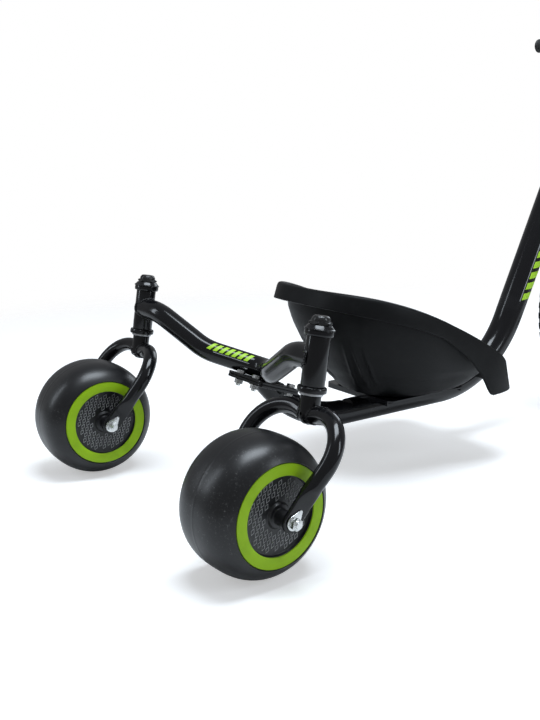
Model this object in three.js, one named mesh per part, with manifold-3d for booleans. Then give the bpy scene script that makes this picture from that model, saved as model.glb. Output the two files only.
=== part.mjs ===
// Drift trike: one large pedalled front wheel, a low bucket seat, and two hard slick rear wheels in free-turning
// forks. +X is forward, +Y is left and +Z is up, in millimetres, with the ground at Z = 0.
import * as THREE from 'three';
import { mergeVertices } from 'three/addons/utils/BufferGeometryUtils.js';
import Module from 'manifold-3d';

const wasm = await Module();
wasm.setup();

const degree = Math.PI / 180;

// Driving dimensions
const wheelbase = 1219; // rear wheel centres, trailing, to the front wheel centre
const casterSpacing = 529; // between the two swivel axes
const casterTrail = 81.5; // swivel axis to rear wheel centre, square to the axis
const casterDrop = 169; // lower end of a swivel tube to the wheel centre, along the axis
const casterLean = 8.9 * degree; // top of the swivel axis tilts forward
const casterTurn = 3 * degree; // each free caster rests turned with its wheel a little outwards
const rearWheelDiameter = 210;
const rearWheelWidth = 127;
const frontWheelDiameter = 508;
const frontTyreWidth = 50;
const steeringLean = 12 * degree; // top of the steering axis tilts back
const forkRake = 30; // front axle ahead of the steering axis
const handlebarWidth = 400;
const handlebarRise = 76;
const crankLength = 127;
const seatLength = 425;
const seatWidth = 332;
const casterTube = 36; // outer diameter of a swivel tube
const casterTubeLength = 74;
const crossbarTube = 38;
const casterForkTube = 25.4;
const steererTube = 25.4;
const mainTubeRear = 42; // the main tube grows from its rear end to the riser
const mainTubeFront = 57;
const headTube = 42;
const headTubeLength = 112;
const handlebarTube = 22.2;

// Fits shared by all pieces
const gap = 0.3; // between two pieces that touch
const overrun = 1; // how far a cutting tool passes the face that it opens
const boltThread = 8;
const nutFlats = 13;
const nutHeight = 7.5;
const axleThread = 10;
const axleNutFlats = 16;
const axleNutHeight = 8;

// Where the main groups stand
const rearRadius = rearWheelDiameter / 2;
const frontRadius = frontWheelDiameter / 2;
const swivelFootHeight = rearRadius + casterDrop * Math.cos(casterLean) - casterTrail * Math.sin(casterLean);
const swivelFootX = -casterTubeLength * Math.sin(casterLean);
const rearWheelX = swivelFootX - casterTrail * Math.cos(casterLean) - casterDrop * Math.sin(casterLean);
const frontWheelX = rearWheelX + wheelbase;
const steeringX = frontWheelX - forkRake * Math.cos(steeringLean);
const steeringZ = frontRadius - forkRake * Math.sin(steeringLean);

const gloss = { roughness: 0.25, metalness: 0.2 };
const blackPaint = new THREE.MeshStandardMaterial({ color: 0x0d0d0f, ...gloss });
const limePaint = new THREE.MeshStandardMaterial({ color: 0x86b81e, roughness: 0.45, metalness: 0 });
const blackPlastic = new THREE.MeshStandardMaterial({ color: 0x17181a, roughness: 0.6, metalness: 0 });
const wheelPlastic = new THREE.MeshStandardMaterial({ color: 0x1a1b1c, roughness: 0.4, metalness: 0 });
const rubber = new THREE.MeshStandardMaterial({ color: 0x141414, roughness: 0.85, metalness: 0 });
const zinc = new THREE.MeshStandardMaterial({ color: 0xb9bbb6, roughness: 0.35, metalness: 0.9 });
const steel = new THREE.MeshStandardMaterial({ color: 0x8d9094, roughness: 0.3, metalness: 1 });

// Merges shared corners, drops triangles that have shrunk to a line and turns the faces outwards
function welded(geometry) {
  const bare = new THREE.BufferGeometry();
  bare.setAttribute('position', geometry.getAttribute('position').clone());
  bare.setIndex(geometry.getIndex());
  const merged = mergeVertices(bare);
  const index = merged.getIndex().array;
  const position = merged.getAttribute('position');
  const corners = [new THREE.Vector3(), new THREE.Vector3(), new THREE.Vector3()];
  const kept = [];
  let volume = 0;
  for (let i = 0; i < index.length; i += 3) {
    const [a, b, c] = [index[i], index[i + 1], index[i + 2]];
    if (a === b || b === c || c === a) continue;
    kept.push(a, b, c);
    [a, b, c].forEach((corner, k) => corners[k].fromBufferAttribute(position, corner));
    volume += corners[0].dot(corners[1].clone().cross(corners[2]));
  }
  if (volume < 0) {
    for (let i = 0; i < kept.length; i += 3) [kept[i + 1], kept[i + 2]] = [kept[i + 2], kept[i + 1]];
  }
  merged.setIndex(kept);
  return merged;
}

function solid(geometry) {
  const mesh = welded(geometry);
  return new wasm.Manifold(new wasm.Mesh({
    numProp: 3,
    vertProperties: new Float32Array(mesh.getAttribute('position').array),
    triVerts: new Uint32Array(mesh.getIndex().array),
  }));
}

function geometryOf(body) {
  const mesh = body.getMesh();
  const geometry = new THREE.BufferGeometry();
  geometry.setAttribute('position', new THREE.BufferAttribute(new Float32Array(mesh.vertProperties), 3));
  geometry.setIndex(new THREE.BufferAttribute(new Uint32Array(mesh.triVerts), 1));
  return geometry;
}

function joined(...geometries) {
  return geometryOf(geometries.map(solid).reduce((whole, next) => whole.add(next)));
}

function cut(base, ...tools) {
  return geometryOf(tools.map(solid).reduce((whole, tool) => whole.subtract(tool), solid(base)));
}

// Solid of revolution about Z from [radius, height] points
function turned(points, sides = 18) {
  return new THREE.LatheGeometry(points.map(([r, z]) => new THREE.Vector2(r, z)), sides).rotateX(Math.PI / 2);
}

function ringed(inner, outer, low, high, sides = 18) {
  return turned([[inner, low], [outer, low], [outer, high], [inner, high], [inner, low]], sides);
}

function rod(radius, low, high, sides = 16) {
  return turned([[0, low], [radius, low], [radius, high], [0, high]], sides);
}

// Turns a geometry built along Z so that it lies along Y
function acrossY(geometry) {
  return geometry.rotateX(-Math.PI / 2);
}

function hexagon(flats, low, high) {
  const radius = flats / Math.sqrt(3);
  return turned([[0, low], [radius, low], [radius, high], [0, high]], 6);
}

function hexNut(flats, bore, low, high) {
  return cut(hexagon(flats, low, high), rod(bore, low - overrun, high + overrun, 12));
}

function block(lengthX, lengthY, lengthZ) {
  return new THREE.BoxGeometry(lengthX, lengthY, lengthZ);
}

// Flat plate from an outline in X and Y, standing from low to high
function plate(outline, low, high, holes = []) {
  const shape = new THREE.Shape(outline.map(([x, y]) => new THREE.Vector2(x, y)));
  for (const [x, y, radius] of holes) {
    shape.holes.push(new THREE.Path().absarc(x, y, radius, 0, 2 * Math.PI, true));
  }
  const settings = { depth: high - low, bevelEnabled: false, curveSegments: 5 };
  return new THREE.ExtrudeGeometry(shape, settings).translate(0, 0, low);
}

// An arc that rounds the corner of a bent tube
class Bend extends THREE.Curve {
  constructor(corner, before, after, radius) {
    super();
    this.angle = before.angleTo(after);
    this.normal = before.clone().cross(after).normalize();
    this.reach = radius * Math.tan(this.angle / 2);
    const start = corner.clone().addScaledVector(before, -this.reach);
    this.centre = start.clone().addScaledVector(this.normal.clone().cross(before), radius);
    this.arm = start.sub(this.centre);
  }

  getPoint(t, target = new THREE.Vector3()) {
    return target.copy(this.arm).applyAxisAngle(this.normal, t * this.angle).add(this.centre);
  }
}

// Straight lengths between corners, with an arc at each inner corner
function bentPath(corners, radii) {
  const path = new THREE.CurvePath();
  let from = corners[0];
  for (let i = 1; i < corners.length - 1; i += 1) {
    const before = corners[i].clone().sub(corners[i - 1]).normalize();
    const after = corners[i + 1].clone().sub(corners[i]).normalize();
    const bend = new Bend(corners[i], before, after, radii[i - 1]);
    path.add(new THREE.LineCurve3(from, bend.getPoint(0)));
    path.add(bend);
    from = bend.getPoint(1);
  }
  path.add(new THREE.LineCurve3(from, corners.at(-1)));
  return path;
}

// Shares of a bent path's length at its ends and at even steps round each bend
function bendShares(path, steps) {
  const length = path.getLength();
  const shares = [0];
  let run = 0;
  for (const part of path.curves) {
    const span = part.getLength() / length;
    if (part instanceof Bend) {
      for (let k = 0; k <= steps; k += 1) shares.push(run + (span * k) / steps);
    }
    run += span;
  }
  return [...shares, 1];
}

// Closed skin through rings of points, with a fan over each end
function lofted(rings) {
  const count = rings[0].length;
  const positions = rings.flat().flatMap((point) => point.toArray());
  const indices = [];
  for (let r = 0; r < rings.length - 1; r += 1) {
    for (let k = 0; k < count; k += 1) {
      const [a, b] = [r * count + k, r * count + ((k + 1) % count)];
      indices.push(a, b, a + count, b, b + count, a + count);
    }
  }
  for (const [ring, turn] of [[rings[0], 1], [rings.at(-1), 0]]) {
    const centre = ring.reduce((sum, point) => sum.add(point), new THREE.Vector3()).divideScalar(count);
    const tip = positions.length / 3;
    positions.push(...centre.toArray());
    const first = turn ? 0 : (rings.length - 1) * count;
    for (let k = 0; k < count; k += 1) {
      const [a, b] = [first + k, first + ((k + 1) % count)];
      indices.push(...(turn ? [b, a, tip] : [a, b, tip]));
    }
  }
  const skin = new THREE.BufferGeometry();
  skin.setAttribute('position', new THREE.Float32BufferAttribute(positions, 3));
  skin.setIndex(indices);
  return skin;
}

// Rounded outline between an ellipse (roundness 2) and a rectangle (high roundness)
function roundedOutline(halfA, halfB, roundness, sides) {
  return Array.from({ length: sides }, (_, k) => {
    const angle = (2 * Math.PI * (k + 0.5)) / sides;
    const bulge = (value) => Math.sign(value) * Math.abs(value) ** (2 / roundness);
    return [halfA * bulge(Math.cos(angle)), halfB * bulge(Math.sin(angle))];
  });
}

// Tube of changing section: each stop gives its share of the path, its two half sizes and its roundness.
// The first half size lies along the given direction, the second square to it and to the path.
function shapedTube(path, direction, stops, sides) {
  return lofted(stops.map(([share, halfA, halfB, roundness]) => {
    const point = path.getPoint(share);
    const tangent = path.getTangent(share);
    const a = direction.clone().addScaledVector(tangent, -direction.dot(tangent)).normalize();
    const b = tangent.clone().cross(a);
    return roundedOutline(halfA, halfB, roundness, sides).map(([u, v]) => (
      point.clone().addScaledVector(a, u).addScaledVector(b, v)
    ));
  }));
}

// Round tube along a bent path, whose facets are turned towards the given direction
function roundTube(path, radius, direction, steps = 3, sides = 10) {
  return shapedTube(path, direction, bendShares(path, steps).map((share) => [share, radius, radius, 2]), sides);
}

function piece(name, geometry, material) {
  const mesh = new THREE.Mesh(welded(geometry), material);
  mesh.name = name;
  return mesh;
}

const axisX = new THREE.Vector3(1, 0, 0);
const axisY = new THREE.Vector3(0, 1, 0);
const axisZ = new THREE.Vector3(0, 0, 1);
const trike = new THREE.Group();

// Headset: pressed cups, a ball ring in each, a threaded cone above and a crown race below.
// Heights are counted from the end of the tube that carries the cup, away from it.
const cupLip = 4.2; // cup rim beyond the tube's radius
const cupHeight = 8.5;
const cupSkirt = 8;
const cupWall = 1.8;
const raceStep = 4; // floor of the ball track inside the cup
const ballRadius = 2.1;
const coneFlange = 5.4;
const coneHeight = 7.5;

function trackRadius(tube) {
  return tube / 2 + cupLip - cupWall - 2 * ballRadius - gap;
}

// Pressed cup, whose balls stand as a bead along its track
function ballCup(tube, bore) {
  const skirt = bore - gap;
  const inner = skirt - cupWall;
  const rim = tube / 2 + cupLip;
  const track = trackRadius(tube);
  return turned([
    [inner, -cupSkirt], [skirt, -cupSkirt], [skirt, gap], [rim, gap], [rim - gap, cupHeight],
    [track + ballRadius, raceStep], [track, raceStep + 2 * ballRadius], [track - ballRadius, raceStep],
    [inner, raceStep], [inner, -cupSkirt],
  ], 12);
}

const coneStart = raceStep + 2 * ballRadius + gap;

function coneProfile(tube, steererRadius) {
  const inner = steererRadius + gap;
  const flange = tube / 2 + coneFlange;
  const foot = trackRadius(tube);
  return [
    [inner, coneStart], [foot, coneStart], [flange, coneStart + gap], [flange, coneStart + cupWall],
    [foot + cupWall, coneStart + coneHeight], [inner, coneStart + coneHeight], [inner, coneStart],
  ];
}

// Each rear wheel turns on a bolt between the legs of its own fork, which swivels freely in a leaning tube
const swivelWall = 2.8;
const swivelBore = casterTube / 2 - swivelWall;
const steererRadius = steererTube / 2;
const stubTube = 31; // stepped-out lower end of the steerer, where the legs are welded on
const stubWall = 3;
const stubTop = cupHeight + coneStart / 2;
const stubLength = 35;
const crownDrop = 45; // legs leave the steerer this far below the swivel tube
const legSpread = 84; // wheel's mid-plane to a leg's centre line beside the axle
const legShoulderSpread = 116; // corner of the arch, before its bend cuts it off
const legShoulderBack = -2.5;
const legShoulderDrop = 8;
const legKneeBack = 54;
const legKneeDrop = 128;
const legBends = [61, 29];
const paddleThickness = 7;
const paddleWidth = 31;
const paddleLength = 26; // flat stretch above the axle
const squeezeLength = 36; // stretch where the round leg flattens
const drainHole = 4.4;
const drainDrop = 40;
const lockCapTube = 28.5;
const lockCapTop = 29.5; // above the swivel tube
const lockNutFlats = 31;
const lockNutHeight = 5;
const capRound = 4;

function casterFork() {
  const corners = [
    new THREE.Vector3(0, 0, -crownDrop),
    new THREE.Vector3(-legShoulderBack, legShoulderSpread, -legShoulderDrop),
    new THREE.Vector3(-legKneeBack, legSpread, -legKneeDrop),
    new THREE.Vector3(-casterTrail, legSpread, -casterDrop),
  ];
  const legLine = corners[3].clone().sub(corners[2]).normalize();
  corners[3].addScaledVector(legLine, paddleWidth / 2);
  const path = bentPath(corners, legBends);
  const length = path.getLength();
  const acrossLeg = axisY.clone().cross(legLine);
  const round = casterForkTube / 2;
  const axleShare = 1 - paddleWidth / 2 / length;
  const flatShare = axleShare - paddleLength / length;
  const squeezeShare = flatShare - squeezeLength / length;
  const [wide, thin] = [paddleWidth / 2, paddleThickness / 2];
  const section = (share) => {
    const flat = THREE.MathUtils.clamp((share - squeezeShare) / (flatShare - squeezeShare), 0, 1);
    const [halfA, halfB, roundness] = [[round, wide], [round, thin], [2, 5]].map(([from, to]) => (
      THREE.MathUtils.lerp(from, to, flat)
    ));
    return [share, halfA, halfB, roundness];
  };
  const shares = [...bendShares(path, 3), squeezeShare, flatShare].filter((share) => share < axleShare);
  const tipShares = [[0, 1], [0.5, 0.87], [0.87, 0.5], [1, 0.12]];
  const stops = [
    ...shares.sort((a, b) => a - b).map(section),
    ...tipShares.map(([along, width]) => [axleShare + (1 - axleShare) * along, wide * width, thin, 5]),
  ];
  const leg = shapedTube(path, acrossLeg, stops, 10);
  const otherLeg = leg.clone().scale(1, -1, 1);
  const stubBottom = -stubTop - stubLength;
  const steerer = turned([
    [0, stubBottom], [stubTube / 2, stubBottom], [stubTube / 2, -stubTop], [steererRadius, -stubTop],
    [steererRadius, casterTubeLength + lockCapTop - 2 * capRound],
    [0, casterTubeLength + lockCapTop - 2 * capRound],
  ], 12);
  const bore = rod(stubTube / 2 - stubWall, stubBottom - overrun, -stubTop - stubWall, 10);
  const drain = acrossY(rod(drainHole / 2, 0, stubTube, 10)).rotateZ(Math.PI / 2).translate(0, 0, -drainDrop);
  const axleHole = acrossY(rod(axleThread / 2 + gap, -legSpread * 2, legSpread * 2, 10))
    .translate(-casterTrail, 0, -casterDrop);
  return cut(joined(steerer, leg, otherLeg), bore, drain, axleHole);
}

const hubBush = 24; // plain bush that reaches from the boss to the fork's leg
const hubFace = 59.5; // wheel's mid-plane to the boss round the bush
const hubBoss = 36;
const recessFloor = 55.5;
const ringOuter = 151.5; // lime trim ring
const ringInner = 117;
const ringThickness = 1.6;
const ringLand = rearWheelWidth / 2 - 1;
const shoulderInset = 1.5;
const crownHalfWidth = 75.5; // superellipse across the tread, cut off by the wheel's two faces
const crownExponent = 2.94;

const crownShares = [0.94, 0.82, 0.64, 0.4];
const wheelSides = 24; // a multiple of 4, so that the wheel's full height and length stay in its facets

function rearWheel() {
  const half = rearWheelWidth / 2;
  const arc = crownShares.map((share) => {
    const rise = 1 - (half * share / crownHalfWidth) ** crownExponent;
    return [rearRadius * rise ** (1 / crownExponent), half * share];
  });
  const bore = axleThread / 2 + gap;
  const bushEnd = legSpread - paddleThickness / 2 - gap;
  const upper = [
    [bore, bushEnd], [hubBush / 2, bushEnd], [hubBush / 2, hubFace], [hubBoss / 2, hubFace],
    [hubBoss / 2 + shoulderInset, recessFloor], [ringInner / 2 - shoulderInset, recessFloor],
    [ringInner / 2 - gap, ringLand - ringThickness - gap], [ringOuter / 2 + gap, ringLand - ringThickness - gap],
    [ringOuter / 2 + shoulderInset, half], ...arc,
  ];
  const lower = upper.toReversed().map(([r, z]) => [r, -z]);
  const equator = [[rearRadius, 0]];
  return acrossY(turned([...upper, ...equator, ...lower, upper[0]], wheelSides)).rotateY(-casterLean);
}

function rearRing(side) {
  const faces = [ringLand - ringThickness, ringLand].map((face) => side * face);
  return acrossY(ringed(ringInner / 2, ringOuter / 2, ...faces, wheelSides)).rotateY(-casterLean);
}

// Retaining washer whose tab points up the leg
const tabRadius = 11;
const tabReach = 24;
const tabTip = 4;
const washerThickness = 1.6;
const washerSeat = legSpread + paddleThickness / 2 + 2 * gap;

function tabWasher() {
  const legAngle = Math.atan2(casterDrop - legKneeDrop, casterTrail - legKneeBack);
  const shape = new THREE.Shape();
  const lean = Math.acos((tabRadius - tabTip) / tabReach);
  shape.absarc(0, 0, tabRadius, lean, 2 * Math.PI - lean, false);
  shape.absarc(tabReach, 0, tabTip, -lean, lean, false);
  shape.holes.push(new THREE.Path().absarc(0, 0, axleThread / 2 + gap, 0, 2 * Math.PI, true));
  const settings = { depth: washerThickness, bevelEnabled: false, curveSegments: 6 };
  const flat = new THREE.ExtrudeGeometry(shape, settings).rotateX(Math.PI / 2).rotateY(-legAngle);
  return flat.translate(0, washerSeat + washerThickness, 0);
}

const nutSeat = washerSeat + washerThickness + gap;
const axleEnd = nutSeat + axleNutHeight + 2.5 * washerThickness;
const axleFlange = 22;

// Long bolt with a flanged head at the inner leg
function axleBolt() {
  const headEnd = washerSeat + washerThickness + axleNutHeight;
  const head = hexagon(axleNutFlats, -headEnd, -washerSeat);
  const flange = rod(axleFlange / 2, -washerSeat - washerThickness, -washerSeat, 12);
  return acrossY(joined(rod(axleThread / 2, -washerSeat - washerThickness, axleEnd, 10), head, flange));
}

for (const [side, label] of [[1, 'left'], [-1, 'right']]) {
  const swivel = new THREE.Group();
  swivel.position.set(swivelFootX, (side * casterSpacing) / 2, swivelFootHeight);
  swivel.rotation.y = casterLean;
  const caster = new THREE.Group();
  caster.rotation.z = -side * casterTurn;
  const nutBase = coneStart + coneHeight + gap;
  const dome = turned([
    [0, nutBase], [lockCapTube / 2, nutBase], [lockCapTube / 2 - gap, lockCapTop - capRound],
    [lockCapTube / 2 - capRound, lockCapTop], [0, lockCapTop],
  ], 14);
  const thread = rod(steererRadius + gap, nutBase - overrun, lockCapTop - 2 * capRound + gap, 12);
  const lockNut = cut(joined(dome, hexagon(lockNutFlats, nutBase, nutBase + lockNutHeight)), thread);
  const top = casterTubeLength;
  caster.add(
    piece(`caster_fork_${label}`, casterFork(), blackPaint),
    piece(`caster_cone_${label}`, turned(coneProfile(casterTube, steererRadius), 12).translate(0, 0, top), blackPaint),
    piece(`caster_lock_cap_${label}`, lockNut.translate(0, 0, top), blackPlastic),
  );
  const raceRadius = trackRadius(casterTube) + ballRadius;
  const crownRace = ringed(steererRadius + gap, raceRadius, -stubTop + gap, -coneStart, 12);
  caster.add(piece(`caster_crown_race_${label}`, crownRace, steel));
  const cup = ballCup(casterTube, swivelBore);
  swivel.add(
    piece(`caster_upper_cup_${label}`, cup.clone().translate(0, 0, top), blackPaint),
    piece(`caster_lower_cup_${label}`, cup.clone().scale(1, 1, -1), blackPaint),
  );
  const outward = side === 1 ? 0 : Math.PI; // the nut is on the trike's outer side
  const axle = new THREE.Group();
  axle.position.set(-casterTrail, 0, -casterDrop);
  const nut = acrossY(hexNut(axleNutFlats, axleThread / 2 + gap, nutSeat, nutSeat + axleNutHeight));
  const washer = side === 1 ? tabWasher() : tabWasher().scale(1, -1, 1);
  axle.add(
    piece(`rear_wheel_${label}`, rearWheel(), wheelPlastic),
    piece(`rear_ring_outer_${label}`, rearRing(side), limePaint),
    piece(`rear_ring_inner_${label}`, rearRing(-side), limePaint),
    piece(`rear_axle_bolt_${label}`, axleBolt().rotateZ(outward), zinc),
    piece(`rear_axle_washer_${label}`, washer, zinc),
    piece(`rear_axle_nut_${label}`, nut.rotateZ(outward), zinc),
  );
  caster.add(axle);
  swivel.add(caster);
  trike.add(swivel);
}

// Crossbar: one tube bent like a gull's wing and swept forward to its middle, with the two swivel tubes welded to
// its ends and a bolting plate welded under its nose
const crossbarEndX = -6;
const crossbarEndZ = 300;
const crossbarShoulder = [-2, 212, 298];
const crossbarKnee = [32, 103, 242];
const crossbarNose = [103, 0, 213];
const crossbarBends = [90, 120, 45];
const joinTilt = 19 * degree; // bolted plates fall towards the front
const joinX = 94; // middle of the nose, over the plates
const joinLength = 88;
const joinWidth = 104;
const joinThickness = 5;
const joinCorner = 7;
const joinBack = 50; // plates reach this far behind the nose
const rearBoltReach = 41;
const rearBoltSpread = 24;
const frontBoltReach = 26;
const frontBoltSpread = 37;
const noseSink = 3; // the nose stands this deep in its plate's weld
const joinTop = crossbarNose[2] - crossbarTube / 2 + noseSink;

const joinBolts = [
  [-rearBoltReach, rearBoltSpread], [-rearBoltReach, -rearBoltSpread],
  [frontBoltReach, frontBoltSpread], [frontBoltReach, -frontBoltSpread],
];

// Carries a shape built on the join's plane, X forward along the plates, to its place under the nose
function onJoin(geometry) {
  return geometry.rotateY(joinTilt).translate(joinX, 0, joinTop);
}

function joinPlate(top) {
  const [back, front] = [-joinBack, joinLength - joinBack];
  const half = joinWidth / 2;
  const outline = [
    [back, -half + joinCorner], [back + joinCorner, -half], [front - joinCorner, -half],
    [front, -half + joinCorner], [front, half - joinCorner], [front - joinCorner, half],
    [back + joinCorner, half], [back, half - joinCorner],
  ];
  const holes = joinBolts.map(([x, y]) => [x, y, boltThread / 2 + gap]);
  return onJoin(plate(outline, top - joinThickness, top, holes));
}

function atSwivel(geometry, side) {
  return geometry.rotateY(casterLean).translate(swivelFootX, (side * casterSpacing) / 2, swivelFootHeight);
}

function crossbar() {
  const half = [[crossbarEndX, casterSpacing / 2, crossbarEndZ], crossbarShoulder, crossbarKnee];
  const left = half.map(([x, y, z]) => new THREE.Vector3(x, y, z));
  const right = half.toReversed().map(([x, y, z]) => new THREE.Vector3(x, -y, z));
  const [shoulder, knee, nose] = crossbarBends;
  const path = bentPath([...left, new THREE.Vector3(...crossbarNose), ...right], [shoulder, knee, nose, knee, shoulder]);
  const sides = [1, -1];
  const tubes = sides.map((side) => atSwivel(rod(casterTube / 2, 0, casterTubeLength, 14), side));
  const bores = sides.map((side) => atSwivel(rod(swivelBore, -overrun, casterTubeLength + overrun, 12), side));
  return cut(joined(roundTube(path, crossbarTube / 2, axisZ), ...tubes, joinPlate(0)), ...bores);
}

const boltHeadFlats = 13;
const boltHeadHeight = 5.5;
const boltTail = 4;

const joinStack = 2 * joinThickness + gap;

// Bolt through both plates with its locking nut run up below them
function joinBolt([x, y]) {
  const head = hexagon(boltHeadFlats, gap, gap + boltHeadHeight);
  const shank = rod(boltThread / 2, -joinStack - nutHeight - boltTail, boltHeadHeight / 2, 10);
  const nut = hexagon(nutFlats, -joinStack - gap - nutHeight, -joinStack - gap);
  return onJoin(joined(head, shank, nut).translate(x, y, 0));
}

// Main frame: one tapering tube that dips under the seat, rises in front of it and leans into the steering head
const tubeLowX = 168;
const tubeLowZ = 108;
const tubeRearAngle = 48.7 * degree;
const tubeRearReach = 160;
const tubeFrontX = 667;
const tubeFrontZ = 115;
const riserAngle = 65 * degree;
const riserTopZ = 575;
const mainBends = [226, 230, 150];
const headFoot = 330; // along the steering axis, from the point beside the front axle
const riserSeat = 62; // the riser meets the head this far above its lower end
const headWall = 3.6;

function onSteering(x, z) {
  return new THREE.Vector3(
    steeringX + x * Math.cos(steeringLean) - z * Math.sin(steeringLean),
    0,
    steeringZ + x * Math.sin(steeringLean) + z * Math.cos(steeringLean),
  );
}

const mainPath = bentPath([
  new THREE.Vector3(
    tubeLowX - tubeRearReach * Math.cos(tubeRearAngle),
    0,
    tubeLowZ + tubeRearReach * Math.sin(tubeRearAngle),
  ),
  new THREE.Vector3(tubeLowX, 0, tubeLowZ),
  new THREE.Vector3(tubeFrontX, 0, tubeFrontZ),
  new THREE.Vector3(tubeFrontX + (riserTopZ - tubeFrontZ) / Math.tan(riserAngle), 0, riserTopZ),
  onSteering(0, headFoot + riserSeat),
], mainBends);

// The tube's outside, or a cutting tool that clears it by the given play
function mainTube(play = 0) {
  const growthShare = 0.62; // the tube has its full size this far along
  return shapedTube(mainPath, axisY, bendShares(mainPath, 3).map((share) => {
    const grown = Math.min(share / growthShare, 1);
    const half = (mainTubeRear + (mainTubeFront - mainTubeRear) * grown) / 2 + play;
    return [share, half, half, 2];
  }), 14);
}

function atHead(geometry) {
  const foot = onSteering(0, headFoot);
  return geometry.rotateY(-steeringLean).translate(foot.x, foot.y, foot.z);
}

function mainFrame() {
  const head = atHead(rod(headTube / 2, 0, headTubeLength, 14));
  const bore = atHead(rod(headTube / 2 - headWall, -overrun, headTubeLength + overrun, 12));
  const above = onJoin(block(joinLength * 2, joinWidth * 2, tubeRearReach)
    .translate(0, 0, tubeRearReach / 2 - joinThickness - gap));
  const tube = cut(mainTube(), above);
  return cut(joined(tube, joinPlate(-joinThickness - gap), head), bore);
}

trike.add(
  piece('crossbar', crossbar(), blackPaint),
  ...joinBolts.map((place, k) => piece(`crossbar_bolt_${k + 1}`, joinBolt(place), zinc)),
  piece('main_frame', mainFrame(), blackPaint),
);

// Seat: a moulded bucket whose skirted rim is level at the back, falls along the sides and drops over the thighs
// at the front. It is bolted to a folded steel bracket that saddles the main tube.
const seatRearX = 167;
const bracketRearMargin = 48; // bolt to the plate's edge
const bracketFrontMargin = 62;
const bracketWidth = 188;
const bracketThickness = 3;
const bracketHeight = 141; // underside of the bracket's plate
const bracketFlange = 7;
const bracketCorner = 8;
const seatBoltShares = [0.435, 0.638]; // of the seat's length, from its back
const seatBoltY = 50;
const seatBolt = 6;
const seatNutFlats = 10;
const seatNutHeight = 5;
const seatHeadRadius = 8;
const seatHeadHeight = 3;
const seatBoltTail = 3;

const bracketTop = bracketHeight + bracketThickness;
const seatBoltX = seatBoltShares.map((share) => seatRearX + seatLength * share);
const bracketRear = seatBoltX[0] - bracketRearMargin;
const bracketFront = seatBoltX[1] + bracketFrontMargin;
const seatBolts = seatBoltX.flatMap((x) => [[x, seatBoltY], [x, -seatBoltY]]);

function seatBracket() {
  const half = bracketWidth / 2;
  const outline = [
    [bracketRear, -half + bracketCorner], [bracketRear + bracketCorner, -half],
    [bracketFront - bracketCorner, -half], [bracketFront, -half + bracketCorner],
    [bracketFront, half - bracketCorner], [bracketFront - bracketCorner, half],
    [bracketRear + bracketCorner, half], [bracketRear, half - bracketCorner],
  ];
  const holes = seatBolts.map(([x, y]) => [x, y, seatBolt / 2 + gap]);
  const top = plate(outline, bracketHeight, bracketTop, holes);
  const fold = block(bracketThickness, bracketWidth - 2 * bracketCorner, bracketFlange + bracketThickness);
  const foldZ = bracketTop - (bracketFlange + bracketThickness) / 2;
  const folds = [bracketRear + bracketThickness / 2, bracketFront - bracketThickness / 2].map((x) => (
    fold.clone().translate(x, 0, foldZ)
  ));
  return cut(joined(top, ...folds), mainTube(gap));
}

const seatBackHeight = 355; // rim over the ground at the back
const seatRimFall = 164; // rim's fall from back to front
const seatFrontDip = 14;
const seatSkirtBack = 28; // skirt below the rim at the back
const seatSkirtFoot = 139; // lower edge of the thigh flaps, over the ground
const seatFlare = 9; // the skirt leans out this far at the back
const seatWall = 4;
const seatRimWidth = 13;
const seatSkirtFront = 16; // the thigh flaps stand this far ahead of the rim
const seatSides = 32;
const skirtPlaceShares = [0, 0.165, 0.335, 0.486, 0.613, 0.689, 0.72, 0.785, 1];
const skirtFallShares = [0, 0.095, 0.204, 0.34, 0.524, 0.7, 0.77, 1, 1];

// Each ring of the bowl: rear inset and front inset as shares of the length, half width as a share of the half
// width, roundness at the back and at the front, and its height between pan and rim at the back and at the front
const bowlShares = [
  [0.34, 0.26, 0.5, 2.2, 3.5, 0, 0],
  [0.29, 0.185, 0.62, 2.2, 4, 0.035, 0.08],
  [0.215, 0.105, 0.74, 2.3, 4.5, 0.22, 0.5],
  [0.095, 0.08, 0.86, 2.5, 5, 0.58, 0.76],
  [0.045, 0.065, 0.925, 2.7, 5.5, 0.93, 0.95],
];

function tabled(places, values, at) {
  const k = Math.max(1, places.findIndex((place, i) => i > 0 && at <= place));
  const share = (at - places[k - 1]) / (places[k] - places[k - 1]);
  return values[k - 1] + (values[k] - values[k - 1]) * share;
}

function rimHeight(share, across) {
  const dip = seatFrontDip * share ** 8 * (1 - across ** 2);
  return seatBackHeight - seatRimFall * share ** 1.47 - dip;
}

function skirtHeight(share) {
  const top = seatBackHeight - seatSkirtBack;
  return top - (top - seatSkirtFoot) * tabled(skirtPlaceShares, skirtFallShares, share);
}

// A ring of the seat. height gets the place along the seat and the place across it, both as shares.
function seatRing(rear, front, half, backRound, frontRound, height) {
  const middle = (rear + front) / 2;
  return Array.from({ length: seatSides }, (_, k) => {
    const angle = (2 * Math.PI * k) / seatSides;
    const roundness = Math.cos(angle) < 0 ? backRound : frontRound;
    const bulge = (value) => Math.sign(value) * Math.abs(value) ** (2 / roundness);
    const x = middle + ((front - rear) / 2) * bulge(Math.cos(angle));
    const y = half * bulge(Math.sin(angle));
    return new THREE.Vector3(x, y, height((1 + bulge(Math.cos(angle))) / 2, bulge(Math.sin(angle))));
  });
}

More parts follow.
